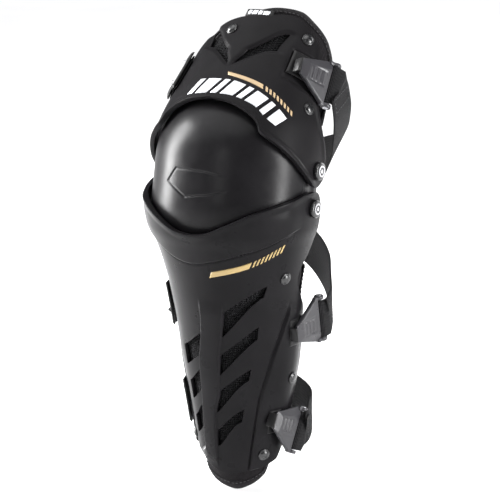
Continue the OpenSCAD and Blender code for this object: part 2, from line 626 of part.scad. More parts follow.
shin_shell();
shin_mesh_near();
shin_mesh_far();
shin_liner();
shin_binding();
shin_snaps();
lower_pivot_rivets();
lower_pivot_washers();
lower_pivot_caps();
lower_cap_inlays();
calf_catch();
ankle_catch();
calf_anchor();
ankle_anchor();
shin_anchor_rivets();
calf_strap();
ankle_strap();
calf_hook_bar();
ankle_hook_bar();
knee_cup();
knee_liner();
thigh_shell();
thigh_mesh();
thigh_liner();
thigh_binding();
thigh_label();
thigh_snaps();
upper_pivot_rivets();
upper_pivot_washers();
upper_pivot_caps();
upper_cap_inlays();
thigh_catch();
thigh_anchor();
thigh_anchor_rivets();
thigh_strap();
thigh_hook_bar();
thigh_hook();
calf_hook();
ankle_hook();
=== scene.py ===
"""Hinged knee and shin guard: the finished look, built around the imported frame."""
import bpy
import bmesh
import math
import numpy as np
from mathutils import Matrix, Vector


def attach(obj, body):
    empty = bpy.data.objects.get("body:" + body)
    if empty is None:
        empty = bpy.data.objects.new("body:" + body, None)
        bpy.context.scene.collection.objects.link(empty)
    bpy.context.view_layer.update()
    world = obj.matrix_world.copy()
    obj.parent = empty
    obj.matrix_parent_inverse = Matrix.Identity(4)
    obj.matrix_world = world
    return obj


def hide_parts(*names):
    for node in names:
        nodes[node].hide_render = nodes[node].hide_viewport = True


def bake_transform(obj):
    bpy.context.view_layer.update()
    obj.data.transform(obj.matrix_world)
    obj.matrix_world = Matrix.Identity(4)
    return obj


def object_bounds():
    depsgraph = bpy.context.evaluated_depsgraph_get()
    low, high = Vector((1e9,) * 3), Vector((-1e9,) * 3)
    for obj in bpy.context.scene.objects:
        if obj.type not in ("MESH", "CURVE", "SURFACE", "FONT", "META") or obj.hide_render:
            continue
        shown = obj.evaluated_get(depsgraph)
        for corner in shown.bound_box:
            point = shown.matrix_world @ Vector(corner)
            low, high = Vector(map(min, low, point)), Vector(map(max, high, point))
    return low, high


MM = 0.001
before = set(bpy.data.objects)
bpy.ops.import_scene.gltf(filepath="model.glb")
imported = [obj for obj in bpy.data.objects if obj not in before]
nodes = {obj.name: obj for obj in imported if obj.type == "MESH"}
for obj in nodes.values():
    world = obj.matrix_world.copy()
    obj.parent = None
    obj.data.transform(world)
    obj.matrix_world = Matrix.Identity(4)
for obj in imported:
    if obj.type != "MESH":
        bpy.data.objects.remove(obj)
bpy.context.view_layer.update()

# ---------------------------------------------------------------- dimensions, mm
PIVOT_GAP = 35
SHIN_FLEX = 12.5
THIGH_LEAN = 44.5
CUP_HALF_W = 80
CUP_REACH = 75.5
EAR_HALF_W = 85.5
SHELL_T = 3.2
CUP_T = 3
LINER_GAP = 2
LINER_T = 9
STRAP_W = 38
STRAP_T = 2.4
HOOK_REACH = 36
BAR_D = 5
OVAL = 2.1
UPPER = np.array([0, PIVOT_GAP / 2 * math.sin(math.radians(SHIN_FLEX)),
                  PIVOT_GAP / 2 * math.cos(math.radians(SHIN_FLEX))])
LOWER = -UPPER
LINER_OUT = -SHELL_T - LINER_GAP
PAD_MID = LINER_OUT - 0.3 - (LINER_T - 0.6) / 2
BORE_R = 4.1
EAR_INSIDE, EAR_OUTSIDE = 78, 92

# Sections: half width, reach and shift to the rear, against height above a pivot
SHIN_HALF_W = [(20, 85.5), (0, 85.5), (-18, 83.5), (-35, 78), (-53, 73), (-84, 67), (-126, 63),
               (-156, 59.5), (-187, 54), (-226, 47), (-262, 41), (-290, 37)]
SHIN_REACH = [(20, 83), (0, 83), (-18, 80.5), (-35, 74), (-53, 69), (-84, 62), (-126, 55),
              (-156, 52), (-187, 48), (-226, 43), (-262, 38), (-290, 35)]
SHIN_SHIFT = [(20, 0), (-18, 0), (-53, 2), (-84, 4), (-126, 7), (-187, 8), (-226, 7), (-290, 5)]
THIGH_HALF_W = [(-25, 85.5), (15, 85.5), (45, 83.5), (70, 81.5), (100, 79), (150, 76)]
THIGH_REACH = [(-25, 83), (15, 83), (45, 80.5), (70, 78.5), (100, 77), (150, 76)]

# Outlines: angle round the leg (0 front, 90 side) against height
SHIN_LIP = [(0, -18), (8, -16.5), (24, -7), (41, 3), (58, 9), (73, 13), (83, 15.5), (90, 15.5),
            (95, 13.5), (98, 9.5), (100.5, 0)]
SHIN_REAR = [(20, 100.5), (-20, 100.5), (-35, 99), (-47, 95), (-59, 88), (-70, 86), (-85, 92),
             (-101, 100), (-140, 104), (-180, 104), (-205, 100), (-235, 92), (-255, 80)]
SHIN_BOTTOM = [(-104, -234), (-60, -245), (-36, -252), (-16, -261), (6, -266), (38, -262),
               (78, -254), (104, -244)]
THIGH_LIP = [(0, 16), (12, 14), (26, 8.5), (34, 2.5), (39, -6), (52, -9), (67, -12), (80, -15),
             (90, -15.5), (95, -13.5), (98, -9.5), (100.5, 0)]
THIGH_REAR = [(-20, 100.5), (0, 100.5), (6, 98), (13, 94), (22, 89), (35, 79), (54, 68),
              (80, 61), (120, 54)]
THIGH_TOP = [(-60, 72), (-49, 84), (-33, 98), (-22, 109), (-11, 114), (0, 117), (12, 119),
             (25, 124), (36, 122), (47, 114), (56, 103), (60, 97)]
VENT_TOP = [
    [(-100, -142), (-40, -140), (-9, -122), (15, -97), (54, -70), (80, -62), (104, -60)],
    [(-100, -178), (-40, -177), (-15, -161), (8, -142), (45, -111), (75, -95), (104, -92)],
    [(-100, -212), (-40, -213), (-18, -197), (5, -179), (36, -155), (70, -140), (104, -136)],
    [(-100, -226), (-60, -236), (-22, -238), (-2, -222), (30, -197), (65, -188), (104, -184)]]
VENT_BOTTOM = [
    [(-100, -160), (-40, -160), (-14, -146), (11, -123), (51, -81), (78, -72), (104, -70)],
    [(-100, -196), (-40, -196), (-15, -181), (6, -163), (43, -124), (75, -108), (104, -104)],
    [(-100, -222), (-40, -231), (-20, -220), (0, -203), (35, -166), (70, -152), (104, -148)],
    [(-100, -230), (-60, -241), (-22, -246), (-1, -238), (26, -211), (65, -200), (104, -196)]]
FAR_CREASE = [(0, -80), (-60, -78), (-115, -74), (-160, -66), (-220, -60), (-262, -54)]
FAR_VENT_END = [(0, -48), (-100, -40), (-150, -36), (-230, -38), (-262, -36)]
FAR_STRIP = [(0, -14), (-60, -6), (-97, -6), (-123, -9), (-150, -14), (-180, -16), (-220, -20),
             (-262, -24)]
NEAR_STRIP = [(0, 14), (-60, 18), (-97, 15), (-123, 11), (-142, 8), (-180, 5), (-203, 0),
              (-262, -3)]
NEAR_VENT_END = [(0, 48), (-50, 56), (-70, 54), (-81, 51), (-111, 45), (-124, 43), (-155, 37),
                 (-200, 30), (-230, 25), (-262, 20)]
NEAR_CREASE = [(0, 80), (-60, 79), (-90, 78), (-115, 69), (-139, 60), (-161, 54), (-190, 47),
               (-220, 44), (-262, 39)]
LEAF_BOTTOM = [(0, 56), (2, 59), (27, 83), (60, 88), (104, 80)]
LEAF_TOP = [(0, 72), (7, 77), (31, 105), (60, 99), (104, 90)]
LEAF_START = [(16, 3), (59, 2), (77, 7), (120, 10)]
LEAF_END = [(0, 30), (83, 27), (105, 31), (120, 33)]
# Creases and steps of the plates between those outlines, and the outlines of the pads
SHIN_BAND = [(-80, -12), (-60, -20), (-32, -38), (-15, -47), (-5, -49), (14, -44), (32, -37),
             (50, -30), (65, -22), (75, -17), (90, -12)]
SHIN_LINER_TOP = -58
SHIN_LINER_REAR = [(-50, 112), (-200, 112), (-240, 100), (-262, 84), (-290, 60)]
SHIN_LINER_BOTTOM = [(-112, -240), (-75, -262), (-42, -276), (-6, -282), (17, -284), (45, -280),
                     (79, -270), (112, -250)]
THIGH_LINER_BOTTOM = 46
THIGH_LINER_REAR = [(40, 86), (80, 80), (105, 74), (125, 64), (140, 52)]
THIGH_LINER_TOP = [(-86, 60), (-60, 82), (-49, 98), (-33, 112), (-9, 122), (1, 130), (16, 135),
                   (32, 137), (45, 132), (60, 124), (74, 108), (86, 96)]


# ---------------------------------------------------------------- smooth tables
def curve(table, x):
    """The smooth curve through (x, y) points that part.scad uses, held at its ends."""
    p = np.array(sorted(table), float)
    x = np.asarray(x, float)
    step = np.diff(p[:, 0])
    rate = np.diff(p[:, 1]) / step
    m = np.concatenate([[rate[0]], np.zeros(len(p) - 2), [rate[-1]]])
    both = rate[:-1] * rate[1:]
    total = np.where(both > 0, rate[:-1] + rate[1:], 1)
    m[1:-1] = np.where(both > 0, 2 * both / total, 0)
    i = np.clip(np.searchsorted(p[:, 0], x) - 1, 0, len(step) - 1)
    h = step[i]
    t = np.clip((x - p[i, 0]) / h, 0, 1)
    return (p[i, 1] * (1 + 2 * t) * (1 - t) ** 2 + p[i + 1, 1] * t ** 2 * (3 - 2 * t)
            + h * m[i] * t * (1 - t) ** 2 - h * m[i + 1] * t ** 2 * (1 - t))


def smooth(t):
    t = np.clip(t, 0, 1)
    return t * t * (3 - 2 * t)


def signed_power(s, power):
    return np.sign(s) * np.abs(s) ** (2 / power)


def lean(p, angle):
    c, s = math.cos(math.radians(angle)), math.sin(math.radians(angle))
    return np.stack([p[..., 0], p[..., 1] * c + p[..., 2] * s,
                     p[..., 2] * c - p[..., 1] * s], -1)


def oval(a, b, phi):
    r = np.radians(phi)
    return a * signed_power(np.sin(r), OVAL), -b * signed_power(np.cos(r), OVAL)


def shin_at(phi, z, off):
    """Point of the shin plate at angle phi, height z and distance off outside it."""
    x, y = oval(curve(SHIN_HALF_W, z) + off, curve(SHIN_REACH, z) + off, phi)
    return np.stack([x, y + curve(SHIN_SHIFT, z), z + 0 * x], -1) + LOWER


def thigh_at(phi, z, off):
    x, y = oval(curve(THIGH_HALF_W, z) + off, curve(THIGH_REACH, z) + off, phi)
    return lean(np.stack([x, y, z + 0 * x], -1), THIGH_LEAN) + UPPER


def cup_at(psi, theta, off):
    """Point of the knee cup: psi from side to side, theta from below to above."""
    r = np.radians(psi)
    x = (CUP_HALF_W + off) * signed_power(np.sin(r), OVAL)
    reach = (CUP_REACH + off) * signed_power(np.cos(r), OVAL)
    centre = PIVOT_GAP / 2 * np.clip(theta / 4, -1, 1)
    turn = np.radians(theta - 4 * np.clip(theta / 4, -1, 1))
    return lean(np.stack([x + 0 * turn, -reach * np.cos(turn),
                          reach * np.sin(turn) + centre], -1), SHIN_FLEX)


def crossing(uprights, levels, u, v, z, rounds=8):
    """Angle and height where upright u and level v cross."""
    for _ in range(rounds):
        lines = uprights(z)
        i = np.clip(u.astype(int), 0, len(lines) - 2)
        phi = np.take_along_axis(np.array(lines), i[None], 0)[0] * (i + 1 - u)
        phi += np.take_along_axis(np.array(lines), i[None] + 1, 0)[0] * (u - i)
        rows = levels(phi)
        j = np.clip(v.astype(int), 0, len(rows) - 2)
        z = np.take_along_axis(np.array(rows), j[None], 0)[0] * (j + 1 - v)
        z += np.take_along_axis(np.array(rows), j[None] + 1, 0)[0] * (v - j)
    return phi, z


def shin_uprights(z):
    rear = curve(SHIN_REAR, z)
    return [-rear, curve(FAR_CREASE, z), curve(FAR_VENT_END, z), curve(FAR_STRIP, z),
            curve(NEAR_STRIP, z), curve(NEAR_VENT_END, z), curve(NEAR_CREASE, z), rear]


def shin_levels(phi):
    rows = [curve(SHIN_LIP, np.abs(phi)), curve(SHIN_BAND, phi)]
    for top, bottom in zip(VENT_TOP, VENT_BOTTOM):
        rows += [curve(top, phi), curve(bottom, phi)]
    return rows + [curve(SHIN_BOTTOM, phi)]


def thigh_uprights(z):
    rear = curve(THIGH_REAR, z)
    return [-rear, -curve(LEAF_END, z), -curve(LEAF_START, z), curve(LEAF_START, z),
            curve(LEAF_END, z), rear]


def thigh_levels(phi):
    top = curve(THIGH_TOP, phi)
    return [top, np.minimum(curve(LEAF_TOP, np.abs(phi)), top - 4),
            np.minimum(curve(LEAF_BOTTOM, np.abs(phi)), top - 8), curve(THIGH_LIP, np.abs(phi))]


# ---------------------------------------------------------------- meshes
def new_object(name, verts, faces, smooth_shade=True):
    """An object from points in millimetres."""
    mesh = bpy.data.meshes.new(name)
    mesh.from_pydata((np.asarray(verts, float) * MM).tolist(), [], faces)
    mesh.validate()
    mesh.update()
    for p in mesh.polygons:
        p.use_smooth = smooth_shade
    obj = bpy.data.objects.new(name, mesh)
    bpy.context.collection.objects.link(obj)
    return obj


def shade_smooth(obj):
    for p in obj.data.polygons:
        p.use_smooth = True


def read_points(mesh, field="co"):
    """The points or the normals of a mesh, as rows of three."""
    flat = np.empty(len(mesh.vertices) * 3)
    mesh.vertices.foreach_get(field, flat)
    return flat.reshape(-1, 3)


def write_points(mesh, points):
    mesh.vertices.foreach_set("co", points.ravel())
    mesh.update()


def apply_modifiers(obj):
    """Keep the evaluated mesh and drop the modifiers."""
    graph = bpy.context.evaluated_depsgraph_get()
    graph.update()
    mesh = bpy.data.meshes.new_from_object(obj.evaluated_get(graph))
    old = obj.data
    obj.modifiers.clear()
    obj.data = mesh
    bpy.data.meshes.remove(old)


def grid_solid(name, outer, inner, keep=None):
    """A closed solid between two grids of points; keep says which cells are there."""
    nu, nv = outer.shape[0] - 1, outer.shape[1] - 1
    keep = np.ones((nu, nv), bool) if keep is None else keep
    half = (nu + 1) * (nv + 1)
    padded = np.pad(keep, 1)
    faces = []
    for i in range(nu):
        for j in range(nv):
            if not keep[i, j]:
                continue
            a, b = i * (nv + 1) + j, (i + 1) * (nv + 1) + j
            c, d = b + 1, a + 1
            faces.append((d, c, b, a))
            faces.append((a + half, b + half, c + half, d + half))
            if not padded[i, j + 1]:
                faces.append((a, a + half, d + half, d))
            if not padded[i + 2, j + 1]:
                faces.append((c, c + half, b + half, b))
            if not padded[i + 1, j]:
                faces.append((b, b + half, a + half, a))
            if not padded[i + 1, j + 2]:
                faces.append((d, d + half, c + half, c))
    points = np.concatenate([outer.reshape(-1, 3), inner.reshape(-1, 3)])
    used = np.unique(np.array(faces))
    index = np.full(len(points), -1)
    index[used] = np.arange(len(used))
    obj = new_object(name, points[used], [tuple(int(index[k]) for k in f) for f in faces])
    tidy_normals(obj)
    return obj


def tidy_normals(obj):
    bm = bmesh.new()
    bm.from_mesh(obj.data)
    bmesh.ops.recalc_face_normals(bm, faces=bm.faces)
    bm.to_mesh(obj.data)
    bm.free()


def soften(obj, width, segments=2, angle=40):
    """Round the sharp edges, as a moulded part has."""
    mod = obj.modifiers.new("bevel", "BEVEL")
    mod.width = width * MM
    mod.segments = segments
    mod.limit_method = "ANGLE"
    mod.angle_limit = math.radians(angle)
    apply_modifiers(obj)
    shade_smooth(obj)


def lathe(profile, sides):
    """A solid turned about +Z from (radius, height) points, closed on the axis."""
    verts, faces = [], []
    ring = np.arange(sides) * 2 * math.pi / sides
    for r, h in profile:
        for a in ring:
            verts.append((r * math.cos(a), r * math.sin(a), h))
    for k in range(len(profile) - 1):
        for s in range(sides):
            t = (s + 1) % sides
            faces.append((k * sides + s, k * sides + t, (k + 1) * sides + t, (k + 1) * sides + s))
    faces.append(tuple(reversed(range(sides))))
    faces.append(tuple((len(profile) - 1) * sides + s for s in range(sides)))
    return verts, faces


def placed(verts, spot, normal, up=(0, 0, 1)):
    """Points made about +Z, stood on a spot with +Z along the normal."""
    n = np.array(normal, float)
    n /= np.linalg.norm(n)
    x = np.cross(up, n)
    x /= np.linalg.norm(x)
    y = np.cross(n, x)
    return np.asarray(verts, float) @ np.array([x, y, n]) + np.array(spot)


def prism(low, high):
    """A solid between two outlines with the same number of corners."""
    n = len(low)
    faces = [tuple(range(n)), tuple(reversed(range(n, 2 * n)))]
    faces += [(k, k + n, (k + 1) % n + n, (k + 1) % n) for k in range(n)]
    return low + high, faces


def join_shapes(name, shapes, smooth_shade=True):
    verts, faces = [], []
    for v, f in shapes:
        start = sum(len(w) for w in verts)
        verts.append(np.asarray(v, float))
        faces += [tuple(k + start for k in face) for face in f]
    obj = new_object(name, np.concatenate(verts), faces, smooth_shade)
    tidy_normals(obj)
    return obj


def normal_on(surface, phi, z):
    a, b = np.array(float(phi)), np.array(float(z))
    across = surface(a + 1, b, 0) - surface(a - 1, b, 0)
    along = surface(a, b + 1, 0) - surface(a, b - 1, 0)
    n = np.cross(across, along)
    return n / np.linalg.norm(n)


def spot_on(surface, phi, z, off):
    n = normal_on(surface, phi, z)
    return surface(np.array(float(phi)), np.array(float(z)), 0) + n * off, n


# ---------------------------------------------------------------- materials
def node_material(name, color, roughness, metallic=0.0, **extra):
    """A Principled material, and its nodes and links for the detail that follows."""
    mat = bpy.data.materials.new(name)
    mat.use_nodes = True
    tree = mat.node_tree
    shader = tree.nodes["Principled BSDF"]
    shader.inputs["Base Color"].default_value = (*color, 1)
    shader.inputs["Roughness"].default_value = roughness
    shader.inputs["Metallic"].default_value = metallic
    for key, value in extra.items():
        shader.inputs[key.replace("_", " ")].default_value = value
    return mat, tree, shader


def add(tree, kind, **values):
    node = tree.nodes.new(kind)
    for key, value in values.items():
        if key in node.inputs:
            node.inputs[key].default_value = value
        else:
            setattr(node, key, value)
    return node


def coordinates(tree):
    return add(tree, "ShaderNodeTexCoord").outputs["Object"]


def noise(tree, where, scale, detail=3.0, rough=0.5):
    node = add(tree, "ShaderNodeTexNoise", Scale=scale, Detail=detail, Roughness=rough)
    tree.links.new(where, node.inputs["Vector"])
    return node.outputs["Fac"]


def ramp(tree, value, low, high, a, b):
    node = add(tree, "ShaderNodeValToRGB")
    node.color_ramp.elements[0].position = low
    node.color_ramp.elements[1].position = high
    node.color_ramp.elements[0].color = (*a, 1) if not np.isscalar(a) else (a, a, a, 1)
    node.color_ramp.elements[1].color = (*b, 1) if not np.isscalar(b) else (b, b, b, 1)
    tree.links.new(value, node.inputs["Fac"])
    return node.outputs["Color"]


def bump(tree, shader, height, strength, distance, before=None):
    node = add(tree, "ShaderNodeBump", Strength=strength, Distance=distance)
    tree.links.new(height, node.inputs["Height"])
    if before is not None:
        tree.links.new(before, node.inputs["Normal"])
    tree.links.new(node.outputs["Normal"], shader.inputs["Normal"])
    return node.outputs["Normal"]


def waves(tree, where, axis, scale, distortion):
    node = add(tree, "ShaderNodeTexWave", wave_type="BANDS", bands_direction=axis, Scale=scale,
               Distortion=distortion, Detail=1.0)
    tree.links.new(where, node.inputs["Vector"])
    return node.outputs["Fac"]


def share(tree, value, factor, more):
    """value times factor, plus more."""
    node = add(tree, "ShaderNodeMath", operation="MULTIPLY_ADD")
    tree.links.new(value, node.inputs[0])
    node.inputs[1].default_value = factor
    tree.links.new(more, node.inputs[2])
    return node.outputs[0]


def worn_edges(tree, shader, base, edge, amount):
    """Lighter, polished edges where a moulded part has been handled."""
    geo = add(tree, "ShaderNodeNewGeometry")
    mask = ramp(tree, geo.outputs["Pointiness"], 0.515, 0.6, 0.0, amount)
    mix = add(tree, "ShaderNodeMix", data_type="RGBA")
    tree.links.new(mask, mix.inputs["Factor"])
    tree.links.new(base, mix.inputs[6])
    mix.inputs[7].default_value = (*edge, 1)
    tree.links.new(mix.outputs[2], shader.inputs["Base Color"])


def moulded(name, color, light, roughness, grain, grain_size, shine):
    """Moulded plastic: fine grain, slow tone and gloss changes, and polished edges."""
    mat, tree, shader = node_material(name, color, roughness, Specular_IOR_Level=shine)
    where = coordinates(tree)
    tone = ramp(tree, noise(tree, where, 22.0), 0.3, 0.75, color, light)
    worn_edges(tree, shader, tone, tuple(min(1, 2.2 * c + 0.005) for c in light), 0.4)
    gloss = ramp(tree, noise(tree, where, 60.0, 4.0), 0.25, 0.8, roughness - 0.05,
                 roughness + 0.06)
    tree.links.new(gloss, shader.inputs["Roughness"])
    bump(tree, shader, noise(tree, where, grain_size, 2.0), grain, 0.0003)
    return mat


def woven(name, color, light, axis_scale, roughness=0.85, depth=0.0005, strength=0.7):
    """Cloth: crossing sets of fine ribs, soft fuzz and slow shading changes."""
    mat, tree, shader = node_material(name, color, roughness, Sheen_Weight=0.02,
                                      Sheen_Roughness=0.5, Specular_IOR_Level=0.06)
    where = coordinates(tree)
    total = waves(tree, where, "X", axis_scale, 0.6)
    for axis in "YZ":
        total = share(tree, waves(tree, where, axis, axis_scale, 0.6), 0.8, total)
    fuzz = noise(tree, where, 900.0, 2.0)
    tone = share(tree, noise(tree, where, 30.0), 0.6, fuzz)
    tree.links.new(ramp(tree, tone, 0.45, 1.1, color, light), shader.inputs["Base Color"])
    first = bump(tree, shader, total, strength, depth)
    bump(tree, shader, fuzz, 0.35, 0.0002, first)
    return mat


def ribbed_webbing(name, color, light):
    """Elastic webbing: ribs across the band and cords along it, by the band's UVs."""
    mat, tree, shader = node_material(name, color, 0.78, Sheen_Weight=0.015,
                                      Sheen_Roughness=0.45, Specular_IOR_Level=0.08)
    uv = add(tree, "ShaderNodeTexCoord").outputs["UV"]
    where = coordinates(tree)
    weave = share(tree, waves(tree, uv, "Y", 1.1, 0.3), 0.45, waves(tree, uv, "X", 2.6, 0.15))
    tree.links.new(ramp(tree, weave, 0.35, 1.2, color, light), shader.inputs["Base Color"])
    first = bump(tree, shader, weave, 0.8, 0.0006)
    bump(tree, shader, noise(tree, where, 1100.0, 2.0), 0.3, 0.0002, first)
    return mat


def plain(name, color, roughness, metallic=0.0, wear=0.15):
    """Smooth parts: fine scuffs in the gloss and a slight tone change."""
    mat, tree, shader = node_material(name, color, roughness, metallic)
    where = coordinates(tree)
    tone = ramp(tree, noise(tree, where, 90.0), 0.3, 0.8, color,
                tuple(min(1, c * 1.25 + 0.004) for c in color))
    tree.links.new(tone, shader.inputs["Base Color"])
    gloss = ramp(tree, noise(tree, where, 240.0, 5.0, 0.6), 0.3, 0.75, roughness,
                 roughness + wear)
    tree.links.new(gloss, shader.inputs["Roughness"])
    bump(tree, shader, noise(tree, where, 700.0, 2.0), 0.08, 0.0001)
    return mat


SHELL = moulded("satin_black_shell", (0.0042, 0.004, 0.0045), (0.007, 0.0065, 0.0073), 0.3,
                0.07, 1300.0, shine=0.06)
GRAINED = moulded("grained_black_shell", (0.0055, 0.0052, 0.0057), (0.0088, 0.0083, 0.009),
                  0.42, 0.2, 1100.0, shine=0.045)
CUP = moulded("satin_black_cup", (0.0045, 0.0042, 0.0048), (0.0072, 0.0068, 0.0076), 0.32,
              0.07, 1400.0, shine=0.11)
BLOCK = moulded("black_keeper", (0.004, 0.004, 0.0042), (0.008, 0.0078, 0.008), 0.4, 0.2,
                900.0, shine=0.15)
HOOK = moulded("grey_hook", (0.02, 0.0195, 0.022), (0.03, 0.029, 0.032), 0.3, 0.1, 1400.0,
               shine=0.3)
GLOSSY = plain("polished_black", (0.003, 0.003, 0.0035), 0.24, wear=0.1)
STEEL = plain("satin_steel", (0.42, 0.42, 0.44), 0.28, metallic=1.0, wear=0.2)
WHITE_PRINT = plain("white_print", (0.5, 0.51, 0.53), 0.45, wear=0.1)
CAP_MARK = plain("cap_mark", (0.3, 0.3, 0.31), 0.4, wear=0.1)
GOLD_PALE = plain("pale_gold_print", (0.31, 0.22, 0.12), 0.42, wear=0.1)
GOLD_DEEP = plain("deep_gold_print", (0.27, 0.19, 0.07), 0.42, wear=0.1)
WASHER = plain("cream_washer", (0.62, 0.6, 0.55), 0.45)
THREAD = plain("black_thread", (0.028, 0.027, 0.029), 0.7)
FABRIC = woven("liner_fabric", (0.004, 0.0035, 0.004), (0.010, 0.009, 0.010), 300.0)
KNIT = woven("knitted_mesh", (0.0022, 0.0022, 0.0024), (0.010, 0.010, 0.011), 160.0, depth=0.001,
             strength=1.0)
TAPE = woven("edge_tape", (0.0045, 0.004, 0.0045), (0.011, 0.010, 0.011), 260.0, roughness=0.7)
WEBBING = ribbed_webbing("black_webbing", (0.0028, 0.0028, 0.0031), (0.011, 0.0107, 0.0115))


def finish_piece(obj, material, slot_name, body, *replaced):
    """Material and body; slot_name is not used, and a piece without a body stays unattached."""
    obj.data.materials.clear()
    obj.data.materials.append(material)
    if body:
        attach(obj, body)
    if replaced:
        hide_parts(*replaced)
    return obj


def recolour(node, material):
    obj = nodes[node]
    obj.data.materials.clear()
    obj.data.materials.append(material)


# ---------------------------------------------------------------- hard plates
def graded(cells):
    """Steps inside strips, closer together towards each strip's edges."""
    places = [np.array([0.0])]
    for s, n in enumerate(cells):
        x = np.arange(1, n + 1) / n
        places.append(s + 0.35 * x + 0.65 * (1 - np.cos(math.pi * x)) / 2)
    return np.concatenate(places)


def shin_relief(phi, z):
    """Height of the shin plate's moulded steps over its plain surface, in mm."""
    lip = curve(SHIN_LIP, np.abs(phi))
    band = curve(SHIN_BAND, phi)
    fade = smooth((80 - phi) / 14) * smooth((phi + 64) / 14)
    step = (1.7 * smooth((z - band) / 1.3) - 0.7 * np.exp(-((z - band + 0.6) / 0.8) ** 2)) * fade
    roll = 0.9 * smooth((z - lip + 7) / 6) * smooth((96 - np.abs(phi)) / 8)
    far, near = curve(FAR_STRIP, z), curve(NEAR_STRIP, z)
    inside = smooth((phi - far) / 1.6) * smooth((near - phi) / 1.6)
    ridge = 2.3 * inside * smooth((-84 - z) / 16) * smooth((z + 262) / 14)
    edge = curve(NEAR_CREASE, z)
    crease = smooth((-88 - z) / 16) * smooth((z + 266) / 8)
    panel = 2.3 * smooth((phi - edge) / 2.2) * crease * smooth((104 - phi) / 20)
    far_edge = curve(FAR_CREASE, z)
    far_panel = 2.0 * smooth((far_edge - phi) / 2.2) * crease * smooth((104 + phi) / 20)
    line = np.exp(-((phi - edge + 0.9) / 0.8) ** 2) * crease
    return step + roll + ridge + panel + far_panel - 1.1 * line


def thigh_relief(phi, z):
    lip = curve(THIGH_LIP, np.abs(phi))
    bead = 1.2 * smooth((lip + 6 - z) / 3) * smooth((96 - np.abs(phi)) / 8)
    side = np.abs(phi)
    bottom = curve(LEAF_BOTTOM, side)
    top = curve(LEAF_TOP, side)
    start, end = curve(LEAF_START, z), curve(LEAF_END, z)
    near = smooth((side - start + 3) / 4) * smooth((end + 7 - side) / 7)
    over = smooth((z - bottom + 5) / 5) * smooth((top + 5 - z) / 5)
    dish = -1.7 * near * over
    recess = -1.5 * smooth((phi - 36) / 2) * smooth((72 - phi) / 3) * smooth((z - 55) / 3)
    recess *= smooth((94 - z) / 4)
    rear = curve(THIGH_REAR, z)
    flange = 0.8 * smooth((side - rear + 5) / 3) * smooth((z - 8) / 10)
    return bead + dish + recess + flange


def bored(obj, pivot, x_in, x_out):
    """Cut the pivots' holes through both ears."""
    for side in (-1, 1):
        verts, faces = lathe([(BORE_R, 0), (BORE_R, x_out - x_in)], 48)
        verts = placed(verts, (side * x_in, pivot[1], pivot[2]), (side, 0, 0))
        cutter = new_object("bore", verts, faces)
        tidy_normals(cutter)
        mod = obj.modifiers.new("bore", "BOOLEAN")
        mod.operation = "DIFFERENCE"
        mod.solver = "EXACT"
        mod.object = cutter
        apply_modifiers(obj)
        bpy.data.objects.remove(cutter)
    shade_smooth(obj)


def shin_vents(u, v):
    """Cells that are open: four long vents on the near side, three short ones on the far."""
    slots = (v > 2) & (v.astype(int) % 2 == 0)
    return slots & (((u > 4) & (u < 5)) | ((u > 2) & (u < 3) & (v < 8)))


def thigh_vents(u, v):
    return (v > 1) & (v < 2) & (((u > 1) & (u < 2)) | ((u > 3) & (u < 4)))


def make_plate(name, surface, relief, lines, cells, middle, vents, pivot):
    """A moulded shell on a grid of uprights and levels, with its vents and bores."""
    u, v = graded(cells[0]), graded(cells[1])
    uu, vv = np.meshgrid(u, v, indexing="ij")
    phi, z = crossing(*lines, uu, vv, np.full(uu.shape, middle))
    centres = np.meshgrid((u[:-1] + u[1:]) / 2, (v[:-1] + v[1:]) / 2, indexing="ij")
    obj = grid_solid(name, surface(phi, z, relief(phi, z)), surface(phi, z, -SHELL_T),
                     ~vents(*centres))
    soften(obj, 0.7, angle=75)
    bored(obj, pivot, EAR_INSIDE, EAR_OUTSIDE)
    return obj


shin_plate = make_plate("shin_plate", shin_at, shin_relief, (shin_uprights, shin_levels),
                        ([20, 18, 16, 22, 18, 26, 34], [30, 44, 12, 12, 12, 12, 12, 12, 12, 20]),
                        -120.0, shin_vents, LOWER)
finish_piece(shin_plate, SHELL, "shell_plastic", "shin_guard", "shin_shell")
thigh_plate = make_plate("thigh_plate", thigh_at, thigh_relief, (thigh_uprights, thigh_levels),
                         ([34, 30, 8, 30, 34], [22, 26, 56]), 60.0, thigh_vents, UPPER)
finish_piece(thigh_plate, GRAINED, "grained_plastic", "thigh_guard", "thigh_shell")

# The engraved mark on the knee cup: a pointed tab, as corners in the cup's own angles
CUP_MARK = [(25, 0.7), (7, 1.4), (-15.4, 1.6), (-22.6, -1.2), (-6, -4.6), (10.6, -3.3),
            (26, -1.7)]


def cup_face(psi, theta):
    """Flat place of a point on the cup's front: mm across and mm up."""
    across = np.radians(psi) * CUP_REACH
    centre = PIVOT_GAP / 2 * np.clip(theta / 4, -1, 1)
    turn = np.radians(theta - 4 * np.clip(theta / 4, -1, 1))
    return across, centre + turn * CUP_REACH


def cup_relief(psi, theta):
    """The engraved line of the mark, fading out towards its open end."""
    x, y = cup_face(psi, theta)
    corners = [cup_face(np.array(float(a)), np.array(float(b))) for a, b in CUP_MARK]
    nearest = np.full(x.shape, 1e9)
    for (ax, ay), (bx, by) in zip(corners[:-1], corners[1:]):
        length = (bx - ax) ** 2 + (by - ay) ** 2
        t = np.clip(((x - ax) * (bx - ax) + (y - ay) * (by - ay)) / length, 0, 1)
        d = np.hypot(x - ax - t * (bx - ax), y - ay - t * (by - ay))
        nearest = np.minimum(nearest, d)
    fade = smooth((34 - x) / 18)
    return -0.75 * np.exp(-(nearest / 0.75) ** 2) * fade


